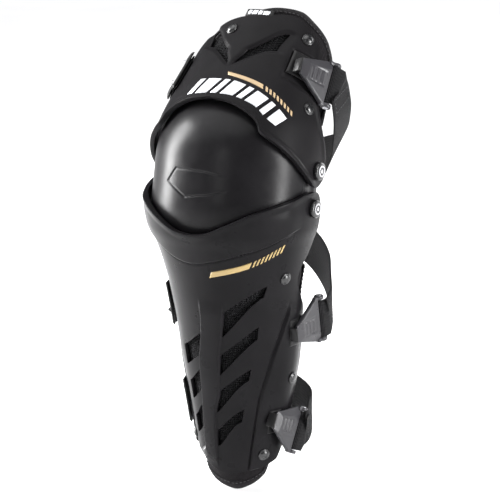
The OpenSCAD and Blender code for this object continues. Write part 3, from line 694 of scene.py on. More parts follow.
def make_knee_cup():
    cells = ((260, 70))
    psi = np.linspace(-82.5, 82.5, cells[0] + 1)
    theta = np.concatenate([np.linspace(-56, -6, cells[1]), np.linspace(-5, 5, cells[1] // 2 * 2),
                            np.linspace(6, 70, cells[1])])
    pp, tt = np.meshgrid(psi, theta, indexing="ij")
    outer = cup_at(pp, tt, cup_relief(pp, tt))
    inner = cup_at(pp, tt, -CUP_T)
    obj = grid_solid("knee_bowl", outer[:, ::-1], inner[:, ::-1])
    soften(obj, 0.8)
    finish_piece(obj, CUP, "shell_plastic", "knee_unit", "knee_cup")
    shapes = []
    for side in (-1, 1):
        outline = []
        for end, start in ((1, 0), (-1, 180)):
            for a in range(start, start + 181, 6):
                c, s = math.cos(math.radians(a)), math.sin(math.radians(a))
                outline.append((13 * c, 13 * s + end * PIVOT_GAP / 2))
        shapes.append(prism(*[[lean(np.array([x * side, y, z]), SHIN_FLEX) for y, z in outline]
                              for x in (76.5, 79.5)]))
    arms = join_shapes("knee_arms", shapes, False)
    for pivot in (UPPER, LOWER):
        bored(arms, pivot, 74, 81.5)
    soften(arms, 0.5)
    finish_piece(arms, CUP, "shell_plastic", "knee_unit")


make_knee_cup()


# ---------------------------------------------------------------- printed marks
def printed(name, surface, relief, low, high, spans, slant, material, body, lift=0.16):
    """Thin raised prints between two lines; spans are (start, end) angles on the low one."""
    shapes = []
    for start, end in spans:
        n = max(2, int((end - start) / 0.8))
        t = np.linspace(start, end, n + 1)
        low_z, high_z = curve(low, t), curve(high, t + slant)
        rows = np.linspace(0, 1, 5)
        phi = t[:, None] + slant * rows
        z = low_z[:, None] + (high_z - low_z)[:, None] * rows
        outer = surface(phi, z, relief(phi, z) + lift)
        inner = surface(phi, z, relief(phi, z) - 0.1)
        half = outer.shape[0] * 5
        verts = np.concatenate([outer.reshape(-1, 3), inner.reshape(-1, 3)])
        faces = []
        for i in range(n):
            for j in range(4):
                a, b = i * 5 + j, (i + 1) * 5 + j
                faces += [(a, b, b + 1, a + 1), (a + half, a + 1 + half, b + 1 + half, b + half)]
        for i in range(n):
            a, b = i * 5, (i + 1) * 5
            faces += [(a, a + half, b + half, b), (a + 4, b + 4, b + 4 + half, a + 4 + half)]
        for j in range(4):
            a, b = j, n * 5 + j
            faces += [(a, a + 1, a + 1 + half, a + half), (b, b + half, b + 1 + half, b + 1)]
        shapes.append((verts, faces))
    obj = join_shapes(name, shapes)
    return finish_piece(obj, material, "white_mark", body)


hatches = [(31 + 3 * k, 32.7 + 3 * k) for k in range(8)]
printed("thigh_stripe", thigh_at, thigh_relief, [(3, 44), (29, 37), (54, 24)],
        [(2, 47.5), (28, 42), (54, 28)], [(3.5, 29)] + hatches, -1.0, GOLD_PALE, "thigh_guard")
printed("thigh_blocks", thigh_at, thigh_relief,
        [(-24, 19), (-10, 20), (10, 21), (27, 17.5), (40, 9), (62, 3)],
        [(-24, 36), (-10, 38), (5, 38.5), (22, 35), (38, 28), (54, 17)],
        [(-19, -15), (-12.5, -4), (-1.5, 2), (4.5, 13), (15.5, 19), (21.5, 30), (32.5, 36),
         (39, 46)], 5.0, WHITE_PRINT, "thigh_guard")
hatches = [(41 + 3.1 * k, 42.6 + 3.1 * k) for k in range(8)]
printed("shin_stripe", shin_at, shin_relief, [(6, -62), (39, -50.5), (66, -36)],
        [(11, -55), (39, -45), (68, -28)], [(8, 39)] + hatches, 2.2, GOLD_DEEP, "shin_guard")


# ---------------------------------------------------------------- knitted mesh panels
def knit_panel(name, surface, phi, z, node, body):
    """A mesh panel behind the vents, with its open holes sunk in a diagonal net."""
    pitch = 0.62
    a, b = surface(np.array(phi[0]), np.array(sum(z) / 2), 0), \
        surface(np.array(phi[1]), np.array(sum(z) / 2), 0)
    width = np.linalg.norm(b - a) * 1.06
    nu, nv = int(width / pitch), int((z[1] - z[0]) / pitch)
    pp, zz = np.meshgrid(np.linspace(phi[0], phi[1], nu + 1), np.linspace(z[1], z[0], nv + 1),
                         indexing="ij")
    s = (pp - phi[0]) / (phi[1] - phi[0]) * width
    net = np.sin(2 * math.pi * s / 2.9) * np.sin(2 * math.pi * zz / 3.3)
    hole = -0.75 * smooth((net - 0.05) / 0.6) - 0.75 * smooth((-net - 0.05) / 0.6)
    obj = grid_solid(name, surface(pp, zz, -SHELL_T - 1.0 + hole),
                     surface(pp, zz, -SHELL_T - 1.8))
    return finish_piece(obj, KNIT, "mesh", body, node)


knit_panel("near_knit", shin_at, (-3.5, 58.0), (-244.0, -64.0), "shin_mesh_near", "shin_guard")
knit_panel("far_knit", shin_at, (-44.0, -5.0), (-226.0, -118.0), "shin_mesh_far", "shin_guard")
knit_panel("thigh_knit_near", thigh_at, (1.0, 36.0), (56.0, 108.0), "thigh_mesh", "thigh_guard")
knit_panel("thigh_knit_far", thigh_at, (-36.0, -1.0), (56.0, 94.0), "thigh_mesh", "thigh_guard")


# ---------------------------------------------------------------- foam liners
def pad_solid(name, surface, phi, z, thickness, out, edge_u, edge_v):
    """A pad between its outer face and a crowned inner face that thins to its edges."""
    nu, nv = phi.shape
    du = np.minimum(np.arange(nu), np.arange(nu)[::-1])[:, None] / edge_u
    dv = np.minimum(np.arange(nv), np.arange(nv)[::-1])[None, :] / edge_v
    crown = np.sqrt(1 - (1 - np.clip(du, 0, 1)) ** 2)
    crown = crown * np.sqrt(1 - (1 - np.clip(dv, 0, 1)) ** 2)
    half = thickness / 2
    outer = surface(phi, z, out - half + half * (0.18 + 0.82 * crown))
    inner = surface(phi, z, out - half - half * (0.18 + 0.82 * crown))
    return grid_solid(name, outer, inner)


PUFF_VOXEL = 4.0
PUFF_PRESSURE = 3.0
PUFF_FRAMES = 16
PUFF_IN, PUFF_ALONG = 3.0, 2.0


def puff(obj, cap_out, axis_point, axis):
    """Cloth-simulate a closed pad under pressure; cap how far any point may move."""
    mod = obj.modifiers.new("remesh", "REMESH")
    mod.mode = "VOXEL"
    mod.voxel_size = PUFF_VOXEL * MM
    apply_modifiers(obj)
    start = read_points(obj.data)
    cloth = obj.modifiers.new("cloth", "CLOTH")
    cloth.settings.quality = 4
    cloth.settings.mass = 0.2
    cloth.settings.use_pressure = True
    cloth.settings.uniform_pressure_force = PUFF_PRESSURE
    cloth.settings.tension_stiffness = 18
    cloth.settings.compression_stiffness = 12
    cloth.settings.bending_stiffness = 0.4
    cloth.settings.effector_weights.gravity = 0
    cloth.point_cache.frame_start = 1
    cloth.point_cache.frame_end = PUFF_FRAMES
    scene = bpy.context.scene
    for f in range(1, PUFF_FRAMES + 1):
        scene.frame_set(f)
    moved = read_points(obj.evaluated_get(bpy.context.evaluated_depsgraph_get()).data)
    obj.modifiers.clear()
    scene.frame_set(1)
    shift = moved - start
    shift -= shift.mean(0)
    ray = start - np.array(axis_point) * MM
    ray -= np.outer(ray @ axis, axis)
    ray /= np.linalg.norm(ray, axis=1)[:, None]
    outward = (shift * ray).sum(1)
    side = shift - outward[:, None] * ray
    long = np.linalg.norm(side, axis=1)
    side *= (np.minimum(long, PUFF_ALONG * MM) / np.maximum(long, 1e-9))[:, None]
    outward = np.clip(outward, -PUFF_IN * MM, cap_out * MM)
    write_points(obj.data, start + side + outward[:, None] * ray)


def refine(obj):
    mod = obj.modifiers.new("subdivision", "SUBSURF")
    mod.levels = 1
    mod.render_levels = 1
    apply_modifiers(obj)
    shade_smooth(obj)


def sew_channels(obj, origin, axis_lean, lines, depth, width):
    """Press sewn channels into a pad's inner face; lines give a distance in mm."""
    co, nor = read_points(obj.data) / MM, read_points(obj.data, "normal")
    own = lean(co - origin, -axis_lean)
    own_n = lean(nor, -axis_lean)
    ray = own[:, :2] / np.linalg.norm(own[:, :2], axis=1)[:, None]
    inward = np.clip(-(own_n[:, :2] * ray).sum(1) * 1.4, 0, 1)
    phi = np.degrees(np.arctan2(own[:, 0], -own[:, 1]))
    distance = lines(phi, own[:, 2])
    dent = depth * np.exp(-(distance / width) ** 2) * inward
    co -= nor * dent[:, None]
    write_points(obj.data, co * MM)


def level(line, phi):
    return line if np.isscalar(line) else curve(line, phi)


def liner_grid(rear, top, bottom, middle, nu, nv):
    """Angles and heights over a pad, between its rear edges, top and bottom."""
    u, v = np.meshgrid(np.linspace(-1, 1, nu + 1), np.linspace(0, 1, nv + 1), indexing="ij")
    z = np.full(u.shape, middle)
    for _ in range(8):
        phi = u * curve(rear, z)
        high = level(top, phi)
        z = high + (level(bottom, phi) - high) * v
    return phi, z


SHIN_PAD = (SHIN_LINER_REAR, SHIN_LINER_TOP, SHIN_LINER_BOTTOM, -150.0)
THIGH_PAD = (THIGH_LINER_REAR, THIGH_LINER_TOP, THIGH_LINER_BOTTOM, 90.0)


def shin_lines(phi, z):
    rows = np.min([np.abs(z + k + 0.12 * np.abs(phi)) for k in (92, 140, 188, 236)], axis=0)
    return np.minimum(rows, np.abs(np.abs(phi) - 58) * 0.9)


def thigh_lines(phi, z):
    rows = np.min([np.abs(z - k + 0.1 * np.abs(phi)) for k in (78, 106)], axis=0)
    return np.minimum(rows, np.abs(np.abs(phi) - 45) * 1.2)


def knee_lines(phi, z):
    turn = np.abs(np.hypot(phi * 0.95, z) - 34)
    return np.minimum(turn, np.abs(np.hypot(phi * 0.95, z) - 62))


def finish_pad(obj, cap_out, origin, axis, angle, lines, width, body, node):
    """Puff a pad, sew its channels and hand it over."""
    puff(obj, cap_out, origin, axis)
    refine(obj)
    sew_channels(obj, origin, angle, lines, 2.0, width)
    finish_piece(obj, FABRIC, "liner_foam", body, node)


for name, surface, (phi, z), origin, angle, body, node, lines in (
        ("shin_pad", shin_at, liner_grid(*SHIN_PAD, 60, 60), LOWER, 0.0, "shin_guard",
         "shin_liner", shin_lines),
        ("thigh_pad", thigh_at, liner_grid(*THIGH_PAD, 60, 30), UPPER, THIGH_LEAN,
         "thigh_guard", "thigh_liner", thigh_lines)):
    obj = pad_solid(name, surface, phi, z, LINER_T - 0.6, LINER_OUT - 0.3, 5, 4)
    finish_pad(obj, 0.35, origin, lean(np.array([0.0, 0.0, 1.0]), angle), angle, lines, 2.4,
               body, node)
psi, theta = np.meshgrid(np.linspace(-60, 60, 49), np.linspace(-58, 72, 49), indexing="ij")
obj = pad_solid("knee_pad", cup_at, psi, theta, LINER_T - 0.4, -CUP_T - 1.2, 4, 4)
finish_pad(obj, 0.3, np.zeros(3), np.array([1.0, 0.0, 0.0]), SHIN_FLEX, knee_lines, 2.6,
           "knee_unit", "knee_liner")


# ---------------------------------------------------------------- edge tape and stitching
def sweep(path, across, normal, section):
    """Verts and faces of a section, as (across, normal) mm, carried along a path."""
    verts, faces = [], []
    n = len(section)
    for p, a, m in zip(path, across, normal):
        verts += [p + a * s + m * t for s, t in section]
    for i in range(len(path) - 1):
        for k in range(n):
            a, b = i * n + k, i * n + (k + 1) % n
            faces.append((a, b, b + n, a + n))
    faces.append(tuple(reversed(range(n))))
    faces.append(tuple((len(path) - 1) * n + k for k in range(n)))
    return verts, faces


def unit(v):
    return v / np.maximum(np.linalg.norm(v, axis=-1, keepdims=True), 1e-9)


def even_path(points, pitch):
    """The same line with its points an even distance apart."""
    points = np.asarray(points, float)
    length = np.concatenate([[0], np.cumsum(np.linalg.norm(np.diff(points, axis=0), axis=1))])
    at = np.linspace(0, length[-1], max(2, int(length[-1] / pitch) + 1))
    return np.stack([np.interp(at, length, points[:, k]) for k in range(3)], 1)


def stitches(name, path, normal, body, length=2.6, gap=1.5, radius=0.32):
    """Short raised threads along a path."""
    fine = even_path(path, 0.5)
    source = np.asarray(path, float)
    shapes = []
    pitch = length + gap
    total = 0.5 * (len(fine) - 1)
    count = int(total / pitch)
    for k in range(count):
        i = int((k * pitch + gap / 2) / 0.5)
        j = min(i + int(length / 0.5), len(fine) - 1)
        a, b = fine[i], fine[j]
        way = (b - a) / max(np.linalg.norm(b - a), 1e-9)
        n = normal[np.argmin(((source - a) ** 2).sum(1))]
        side = np.cross(way, n)
        side /= np.linalg.norm(side)
        up = np.cross(side, way)
        verts, faces = [], []
        for t, grow in ((0, 0.35), (0.2, 1), (0.8, 1), (1, 0.35)):
            centre = a + (b - a) * t + n * (0.25 if 0 < t < 1 else -0.1)
            for s in range(6):
                ang = s * math.pi / 3
                verts.append(centre + (side * math.cos(ang) + up * math.sin(ang))
                             * radius * grow)
        for r in range(3):
            for s in range(6):
                faces.append((r * 6 + s, r * 6 + (s + 1) % 6, (r + 1) * 6 + (s + 1) % 6,
                              (r + 1) * 6 + s))
        faces += [tuple(reversed(range(6))), tuple(18 + s for s in range(6))]
        shapes.append((verts, faces))
    obj = join_shapes(name, shapes)
    return finish_piece(obj, THREAD, "webbing", body)


TAPE_W = 7.5
TAPE_PROUD = 1.3


def edge_tape(name, surface, phi, z, body, node):
    """Tape folded over a pad's edge, from the pad's border line in (phi, z)."""
    line = even_path(np.stack([phi, z, 0 * phi], 1), 1.6)
    phi, z = line[:, 0], line[:, 1]
    edge = surface(phi, z, PAD_MID)
    way = unit(np.gradient(edge, axis=0))
    normal = unit(surface(phi, z, PAD_MID + 1) - edge)
    inward = unit(np.cross(normal, way))
    centre = surface(np.zeros(1), np.array([z.mean()]), PAD_MID)[0]
    if ((centre - edge) * inward).sum() < 0:
        inward = -inward
    h = (LINER_T - 0.6) / 2
    upper = [(TAPE_W, h + 0.35), (TAPE_W * 0.6, h * 0.97 + 0.6), (2.2, h * 0.78 + 0.5),
             (0.0, h * 0.5 + 0.2), (-TAPE_PROUD, h * 0.2)]
    section = upper + [(x, -y) for x, y in upper[::-1]] + [
        (TAPE_W, -h + 0.4), (2.4, -h * 0.5), (0.9, 0.0), (2.4, h * 0.5), (TAPE_W, h - 0.4)]
    verts, faces = sweep(edge, inward, normal, section)
    obj = join_shapes(name, [(verts, faces)])
    finish_piece(obj, TAPE, "webbing", body, node)
    for label, sign in (("out", 1), ("in", -1)):
        row = edge + inward * (TAPE_W - 1.6) + normal * sign * (h + 0.62)
        stitches(name + "_stitch_" + label, row, normal * sign, body)


# Each tape runs from one rear corner, round the pad's free edge, to the other
edge_tape("shin_edge_tape", shin_at,
          *[np.concatenate([g[0, 2:], g[1:-1, -1], g[-1, :1:-1]])
            for g in liner_grid(*SHIN_PAD, 120, 120)], "shin_guard", "shin_binding")
edge_tape("thigh_edge_tape", thigh_at,
          *[np.concatenate([g[0, :1:-1], g[1:-1, 0], g[-1, 2:]])
            for g in liner_grid(*THIGH_PAD, 120, 120)], "thigh_guard", "thigh_binding")

# ---------------------------------------------------------------- hooks and webbing
HOOK_SPOTS = [((82.3, -30, 75), 60, 8, 1), ((76, 26, -131), 80, 8, -1),
              ((59.2, 9.2, -243), 78, -24, 1)]
HOOK_BODIES = ["thigh_clip", "calf_clip", "ankle_clip"]
HOOK_NODES = ["thigh_hook", "calf_hook", "ankle_hook"]
BAR_LEN = STRAP_W + 8
LUG_T = 3.4
HOOK_UNDER = -2
HOOK_TOP = 2.6


def from_hook(k, p):
    """From a hook's own frame to the part's."""
    spot, azimuth, roll, flip = HOOK_SPOTS[k]
    p = np.asarray(p, float) * (1, 1, flip)
    c, s = math.cos(math.radians(roll)), math.sin(math.radians(roll))
    p = np.stack([p[..., 0], p[..., 1] * c - p[..., 2] * s, p[..., 1] * s + p[..., 2] * c], -1)
    c, s = math.cos(math.radians(azimuth - 90)), math.sin(math.radians(azimuth - 90))
    p = np.stack([p[..., 0] * c - p[..., 1] * s, p[..., 0] * s + p[..., 1] * c, p[..., 2]], -1)
    p = p + np.array(spot)
    return lean(p, THIGH_LEAN) + UPPER if k == 0 else p


def hook_edges(u):
    """Low and high edge of the hook plate at distance u from the bar."""
    t = np.clip((u - 6) / (HOOK_REACH - 7), 0, 1)
    low = -BAR_LEN / 2 + (BAR_LEN / 2 - 4.5) * t
    high = BAR_LEN / 2 - (BAR_LEN / 2 - 12.5) * t
    return low, high


def make_hook(k):
    """The faceted plate, its two lugs and three grip ribs."""
    nu, nw = 40, 44
    u = np.linspace(4.6, HOOK_REACH - 0.2, nu + 1)
    t = np.linspace(0, 1, nw + 1)
    uu, tt = np.meshgrid(u, t, indexing="ij")
    low, high = hook_edges(uu)
    ww = low + (high - low) * tt
    # Three facets: the broad face, a lower one along the high edge and one at the nose
    face = HOOK_TOP + 0.25 + 0 * uu
    beside = HOOK_TOP + 0.5 - 0.3 * np.maximum(0, ww - (16 - 0.35 * uu))
    nose = HOOK_TOP + 0.4 - 0.26 * np.maximum(0, uu - 27 + 0.25 * ww)
    rim = HOOK_TOP + 0.3 - 2.2 * np.clip(1 - np.minimum(tt, 1 - tt) * (high - low) / 1.3, 0, 1) ** 2
    end = HOOK_TOP + 0.3 - 2.2 * np.clip(1 - (HOOK_REACH - 0.2 - uu) / 1.3, 0, 1) ** 2
    top = np.minimum.reduce([face, beside, nose, rim, end])
    # A shallow dished panel with the three ribs in it
    panel = np.maximum(np.abs(uu - 18) / 9.5, np.abs(ww - 2.2) / 8.5)
    top -= 0.35 * smooth((1 - panel) / 0.12)
    rib = np.max([smooth((0.95 - np.abs(uu - 13.2 - 4.8 * r)) / 0.35) for r in range(3)], axis=0)
    top += 0.9 * rib * smooth((1 - np.abs(ww - 2.2) / 6.6) / 0.15)
    outer = from_hook(k, np.stack([top, -uu, ww], -1))
    under = HOOK_UNDER + 0.5 * np.clip(1 - np.minimum(tt, 1 - tt) * (high - low) / 1.2, 0, 1)
    inner = from_hook(k, np.stack([under, -uu, ww], -1))
    plate_obj = grid_solid(HOOK_NODES[k] + "_plate", outer, inner)
    soften(plate_obj, 0.35, angle=50)
    finish_piece(plate_obj, HOOK, "hook_plastic", HOOK_BODIES[k], HOOK_NODES[k])
    shapes = []
    r, w = BAR_D / 2 + 0.05, LUG_T / 2
    ring = [(r, -w), (4.3, -w), (4.75, -w + 0.45), (4.75, w - 0.45), (4.3, w), (r, w)]
    sides = 48
    for side in (-1, 1):
        verts, faces = [], []
        for rad, h in ring:
            for s in range(sides):
                a = 2 * math.pi * s / sides
                verts.append((rad * math.cos(a), rad * math.sin(a),
                              h + side * (BAR_LEN - LUG_T) / 2))
        n = len(ring)
        for m in range(n):
            for s in range(sides):
                q, e = (m + 1) % n, (s + 1) % sides
                faces.append((m * sides + s, m * sides + e, q * sides + e, q * sides + s))
        shapes.append((from_hook(k, np.array(verts)), faces))
        block = []
        for x in (HOOK_UNDER + 0.1, HOOK_TOP - 0.1):
            for y, z in ((-7.5, -w), (-3.1, -w), (-3.1, w), (-7.5, w)):
                block.append((x, y, z + side * (BAR_LEN - LUG_T) / 2))
        shapes.append((from_hook(k, np.array(block)),
                       [(0, 1, 2, 3), (7, 6, 5, 4), (0, 4, 5, 1), (1, 5, 6, 2), (2, 6, 7, 3),
                        (3, 7, 4, 0)]))
    lugs = join_shapes(HOOK_NODES[k] + "_lugs", shapes, False)
    soften(lugs, 0.3, angle=40)
    finish_piece(lugs, HOOK, "hook_plastic", HOOK_BODIES[k])


for k in range(3):
    make_hook(k)


def spline(p, n):
    """Catmull-Rom points along a route, n to each stretch."""
    p = np.asarray(p, float)
    out = []
    for i in range(len(p) - 1):
        a, b, c, d = p[max(0, i - 1)], p[i], p[i + 1], p[min(len(p) - 1, i + 2)]
        for t in np.arange(n) / n:
            out.append((2 * b + (c - a) * t + (2 * a - 5 * b + 4 * c - d) * t ** 2
                        + (3 * b - a - 3 * c + d) * t ** 3) / 2)
    return np.array(out + [p[-1]])


END_STEPS = [-0.25, 0, 0.25, 0.5, 0.75, 0.95]
STRAP_OFF = 0.5 + STRAP_T / 2
ANCHOR_OFF = (STRAP_OFF + STRAP_T / 2 + 0.3, STRAP_OFF + STRAP_T / 2 + 2.7)
LOOP_R = BAR_D / 2 + STRAP_T / 2 + 0.3
ANCHORS = [(thigh_at, (-61, -41), 58), (shin_at, (-86, -64), -106), (shin_at, (-88, -62), -205)]
UP = (0, 0, 1)
ROUTES = [
    [(86, 50, 63), (66, 80, 30), (34, 99, 10), (0, 106, 3), (-40, 102, 10), (-72, 86, 30),
     (-88, 52, 62)],
    [(74, 50, -120), (56, 74, -100), (30, 88, -80), (0, 92, -72), (-30, 88, -78),
     (-56, 72, -94), (-71, 44, -110)],
    [(61, 30, -239), (51, 50, -233), (27, 64, -227), (0, 68, -223), (-27, 64, -221),
     (-48, 49, -221), (-58, 30, -222)]]
WIDTHS = [
    [(0, 0.85, 0.52), (0, 0.78, 0.62), (0, 0.2, 0.98), (0, 0.15, 1), (0, 0.2, 0.98),
     (0, 0.4, 0.9), (0, 0.6, 0.8)], [UP] * 7, [UP] * 7]
SEWN_SPAN = (27, 39)
SEWN_HALF = 15
STRAP_NAMES = ["thigh_strap", "calf_strap", "ankle_strap"]
STRAP_BODIES = [None, None, "shin_guard"]


def relief_of(surface):
    return thigh_relief if surface is thigh_at else shin_relief


def strap_line(k):
    """Middle points and width directions of a strap, from its loop to its anchor."""
    surface, (first, last), height = ANCHORS[k]
    flip = HOOK_SPOTS[k][3]
    along = unit(from_hook(k, (0, 0, 1)) - from_hook(k, (0, 0, -1))) * flip
    loop = [from_hook(k, (LOOP_R * math.cos(math.radians(a)),
                          LOOP_R * math.sin(math.radians(a)), 0)) for a in range(150, 361, 15)]
    start = from_hook(k, (LOOP_R, 7, 0))
    ends, widths = [], []
    for t in END_STEPS:
        phi = np.array(first + (last - first) * t)
        ends.append(surface(phi, np.array(float(height)), STRAP_OFF))
        rise = surface(phi, np.array(height + STRAP_W / 2), 0) \
            - surface(phi, np.array(height - STRAP_W / 2), 0)
        widths.append(unit(rise))
    middle = np.concatenate([loop, spline([start] + ROUTES[k] + ends, 12)])
    across = np.concatenate([[along] * len(loop), spline([along] + WIDTHS[k] + widths, 12)])
    return middle, across


def make_strap(k):
    body = STRAP_BODIES[k]
    middle, across = strap_line(k)
    way = unit(np.gradient(middle, axis=0))
    wide = unit(across)
    thick = unit(np.cross(way, wide))
    wide = unit(np.cross(thick, way))
    half, t = STRAP_W / 2, STRAP_T / 2
    # Rounded selvedges, and the slight crown and dished back of elastic webbing
    rows = np.linspace(-1, 1, 17)
    front = [(r * (half - 0.2), t * (1 - 0.42 * abs(r) ** 6)) for r in rows]
    back = [(r * (half - 0.2), -t * (1 - 0.42 * abs(r) ** 6)) for r in rows[::-1]]
    section = [(-half, 0)] + front + [(half, 0)] + back
    # A little edge ripple that fades towards both fixed ends
    length = np.concatenate([[0], np.cumsum(np.linalg.norm(np.diff(middle, axis=0), axis=1))])
    ripple = np.sin(length / 17.0 + k) + 0.6 * np.sin(length / 7.3 + 2 * k)
    calm = smooth((length - 24) / 30) * smooth((length[-1] - 45 - length) / 30)
    middle = middle + thick * (0.35 * ripple * calm)[:, None]
    verts, faces = sweep(middle, wide, thick, section)
    obj = join_shapes(STRAP_NAMES[k] + "_band", [(verts, faces)])
    uv = obj.data.uv_layers.new(name="along")
    n = len(section)
    for poly in obj.data.polygons:
        for loop in poly.loop_indices:
            i = obj.data.loops[loop].vertex_index
            uv.data[loop].uv = (length[i // n] / 10, section[i % n][0] / 10)
    finish_piece(obj, WEBBING, "webbing", body, STRAP_NAMES[k])
    # The sewn overlap behind the bar, with a box of stitching
    i, j = [np.argmin(np.abs(length - d)) for d in SEWN_SPAN]
    face = thick * (t + 0.12)
    corners = [middle[m] + wide[m] * side * SEWN_HALF + face[m]
               for m, side in ((i, -1), (i, 1), (j, 1), (j, -1), (i, -1))]
    box = even_path(corners, 1.0)
    rows = stitches(STRAP_NAMES[k] + "_stitch", box, np.array([thick[(i + j) // 2]] * len(box)),
                    body)
    return obj, rows


straps = [make_strap(k) for k in range(3)]
# The thigh and calf straps' pieces get their placing baked into their points
YIELD = [("thigh_guard", (0, 0.035, 0.03), (0, 0.177, 0.03)),
         ("shin_guard", (0, 0.05, -0.08), (0, 0.134, -0.08))]
for (body, start, end), pieces in zip(YIELD, straps):
    for piece in pieces:
        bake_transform(piece)

# ---------------------------------------------------------------- keepers and anchors
KEEPERS = [("thigh_keeper", thigh_at, (38, 56), (64, 90), (0.4, 2.0), 4.2, "thigh_guard",
            "thigh_catch"),
           ("calf_keeper", shin_at, (76, 94), (-136, -108), (0.4, 3.6), 3.0, "shin_guard",
            "calf_catch"),
           ("ankle_keeper", shin_at, (59, 75), (-224, -199), (0.4, 3.3), 4.2, "shin_guard",
            "ankle_catch")]


def rounded_patch(name, surface, phi, z, off, cells=(20, 20), sink=0.0):
    """A moulded pad on a plate, with rolled edges and a slightly dished face."""
    s, t = np.linspace(0, 1, cells[0] + 1), np.linspace(0, 1, cells[1] + 1)
    ss, tt = np.meshgrid(s, t, indexing="ij")
    pp = phi[0] + (phi[1] - phi[0]) * ss
    zz = z[1] + (z[0] - z[1]) * tt
    edge = np.minimum(np.minimum(ss, 1 - ss) * 12, np.minimum(tt, 1 - tt) * 14)
    roll = np.sqrt(1 - (1 - np.clip(edge, 0, 1)) ** 2)
    depth = off[1] - off[0]
    top = off[0] + depth * (0.45 + 0.55 * roll) - sink * smooth((edge - 1.5) / 1.0)
    return grid_solid(name, surface(pp, zz, top), surface(pp, zz, off[0]))


for k, (name, surface, phi, z, off, depth, body, node) in enumerate(KEEPERS):
    obj = rounded_patch(name, surface, phi, z, off, sink=0.4)
    soften(obj, 0.3)
    finish_piece(obj, BLOCK, "shell_plastic", body, node)
    x0, x1 = HOOK_UNDER - depth, HOOK_TOP + 0.3
    y0, y1 = -HOOK_REACH - 3.6, -HOOK_REACH - 0.8
    # The tongue: a wedge with a lip over the nose's edge
    profile = [(x0, y1 + 0.2), (x1 - 1.2, y1), (x1, y1 - 0.6), (x1 - 0.3, y0 + 0.9),
               (x1 - 2.0, y0), (x0, y0 - 0.8)]
    outlines = [[from_hook(k, (x, y, w)) for x, y in profile] for w in (-3.4, 10.4)]
    tongue = join_shapes(name + "_tongue", [prism(*outlines)], False)
    soften(tongue, 0.5, segments=3)
    finish_piece(tongue, BLOCK, "shell_plastic", body)

ANCHOR_NODES = [("thigh_anchor", "thigh_guard"), ("calf_anchor", "shin_guard"),
                ("ankle_anchor", "shin_guard")]
for (surface, phi, height), (node, body) in zip(ANCHORS, ANCHOR_NODES):
    obj = rounded_patch(node + "_plate", surface, phi, (height - 22, height + 22), ANCHOR_OFF,
                        (28, 28), sink=0.7)
    soften(obj, 0.35)
    finish_piece(obj, BLOCK, "shell_plastic", body, node)

# ---------------------------------------------------------------- studs, caps and label
SNAP = [(5.75, 0.0), (5.75, 0.55), (5.5, 0.95), (5.0, 1.15), (4.75, 1.05), (4.6, 1.1),
        (4.2, 1.75), (3.4, 2.25), (2.3, 2.6), (1.1, 2.78), (0.25, 2.82)]
SHIN_SNAPS = [(71, -65), (86, -169), (58, -245), (-23, -248), (-74, -65), (-86, -152),
              (-58, -236)]
THIGH_SNAPS = [(44, 107), (63, 42), (-11, 100), (-66, 22)]


def make_snaps(name, surface, spots, body, node):
    shapes = []
    for phi, z in spots:
        raised = float(relief_of(surface)(np.array(float(phi)), np.array(float(z))))
        place, n = spot_on(surface, phi, z, raised + 0.15)
        verts, faces = lathe(SNAP, 40)
        shapes.append((placed(verts, place, n), faces))
    obj = join_shapes(name, shapes)
    finish_piece(obj, GLOSSY, "gloss_black", body, node)


make_snaps("shin_studs", shin_at, SHIN_SNAPS, "shin_guard", "shin_snaps")
make_snaps("thigh_studs", thigh_at, THIGH_SNAPS, "thigh_guard", "thigh_snaps")

# Caps: a pocket over the rivet's head, a rolled rim and a raised ring on the face
CAP = [(7.15, 0.0), (8.3, 0.0), (8.5, 0.25), (8.5, 2.9), (8.3, 3.5), (7.8, 4.0), (7.2, 4.25),
       (6.4, 4.35), (0.3, 4.35)]
CAP_POCKET = [(0.3, 1.9), (7.1, 1.9)]
for name, pivot, body, node in (("lower_cap", LOWER, "shin_guard", "lower_pivot_caps"),
                                ("upper_cap", UPPER, "thigh_guard", "upper_pivot_caps")):
    shapes = []
    for side in (-1, 1):
        verts, faces = lathe(CAP_POCKET + CAP, 64)
        shapes.append((placed(verts, (side * (EAR_HALF_W + 0.15), pivot[1], pivot[2]),
                              (side, 0, 0)), faces))
    obj = join_shapes(name, shapes)
    finish_piece(obj, GLOSSY, "gloss_black", body, node)

for node in ("lower_cap_inlays", "upper_cap_inlays"):
    recolour(node, CAP_MARK)
for node in ("lower_pivot_rivets", "upper_pivot_rivets", "shin_anchor_rivets",
             "thigh_anchor_rivets", "thigh_hook_bar", "calf_hook_bar", "ankle_hook_bar"):
    recolour(node, STEEL)
for node in ("lower_pivot_washers", "upper_pivot_washers"):
    recolour(node, WASHER)

label = rounded_patch("brim_label", thigh_at, (-8, 13), (119, 127),
                      (LINER_OUT + 1.4, LINER_OUT + 2.3), (30, 12))
finish_piece(label, BLOCK, "grained_plastic", "thigh_guard", "thigh_label")
printed("label_blocks", thigh_at, lambda phi, z: LINER_OUT + 2.3 + 0 * phi,
        [(-8, 120.6), (13, 120.6)], [(-8, 125.2), (13, 125.2)],
        [(-6, -3.4), (-2.6, 1), (1.8, 4.6), (5.4, 10)], 0.4, WHITE_PRINT, "thigh_guard")

# ---------------------------------------------------------------- stage, lights, camera
low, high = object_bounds()
bpy.ops.mesh.primitive_plane_add(size=60, location=(0, 0, low[2] - 0.004))
floor = bpy.context.object
floor.name = "studio_floor"
floor_mat, tree, shader = node_material("pale_floor", (0.88, 0.88, 0.88), 0.7)
tone = ramp(tree, noise(tree, coordinates(tree), 3.0), 0.3, 0.7, (0.865, 0.865, 0.865),
            (0.895, 0.895, 0.895))
tree.links.new(tone, shader.inputs["Base Color"])
floor.data.materials.append(floor_mat)

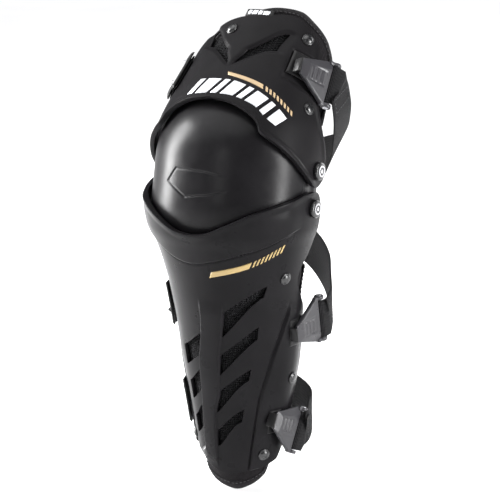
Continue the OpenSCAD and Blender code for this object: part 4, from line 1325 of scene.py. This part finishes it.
world = bpy.data.worlds.new("studio")
bpy.context.scene.world = world
world.use_nodes = True
world.node_tree.nodes["Background"].inputs["Color"].default_value = (0.93, 0.95, 1.0, 1)
world.node_tree.nodes["Background"].inputs["Strength"].default_value = 0.16


def aimed(obj, place, aim):
    bpy.context.collection.objects.link(obj)
    obj.location = place
    obj.rotation_euler = (Vector(aim) - Vector(place)).to_track_quat("-Z", "Y").to_euler()
    return obj


def softbox(name, place, size, power, aim=(0, 0, -0.05)):
    light = bpy.data.lights.new(name, "AREA")
    light.shape = "RECTANGLE"
    light.size, light.size_y = size
    light.energy = power
    return aimed(bpy.data.objects.new(name, light), place, aim)


sky = bpy.data.lights.new("overhead", "SUN")
sky.energy = 3.3
sky.angle = math.radians(70)
aimed(bpy.data.objects.new("overhead", sky), (-0.25, -0.2, 2.0), (0, 0, 0))
softbox("key_left", (-1.6, -0.5, 0.45), (0.45, 1.5), 130, aim=(0, 0, 0))
softbox("front_fill", (0.0, -2.2, 0.7), (0.4, 1.0), 7)
softbox("right_strip", (1.75, 0.05, 0.2), (0.4, 1.5), 75)
softbox("rear_strip", (0.6, 1.8, 0.4), (0.7, 1.4), 18)

# The camera aims a little right of the knee's centre and below it; UPRIGHT is its roll
LENS = 120.96
DISTANCE = 1.6
AIM_RIGHT, AIM_DOWN = 0.0075, 0.041131
UPRIGHT = Vector((-0.0533, 0.108, 0.9927))
AZIMUTH, ELEVATION = math.radians(32.32), math.radians(11.59)
back = Vector((math.sin(AZIMUTH) * math.cos(ELEVATION), -math.cos(AZIMUTH) * math.cos(ELEVATION),
               math.sin(ELEVATION)))
right = UPRIGHT.cross(back).normalized()
up = back.cross(right)
place = back * DISTANCE
back = (back - right * AIM_RIGHT + up * AIM_DOWN).normalized()
right = up.cross(back).normalized()
up = back.cross(right)
camera_data = bpy.data.cameras.new("camera")
camera = bpy.data.objects.new("camera", camera_data)
bpy.context.collection.objects.link(camera)
camera.matrix_world = Matrix.Translation(place) @ Matrix(
    (right, up, back)).transposed().to_4x4()
camera_data.sensor_width = 36
camera_data.lens = LENS
camera_data.clip_end = 100
bpy.context.scene.camera = camera
bpy.context.scene.view_settings.view_transform = "Standard"
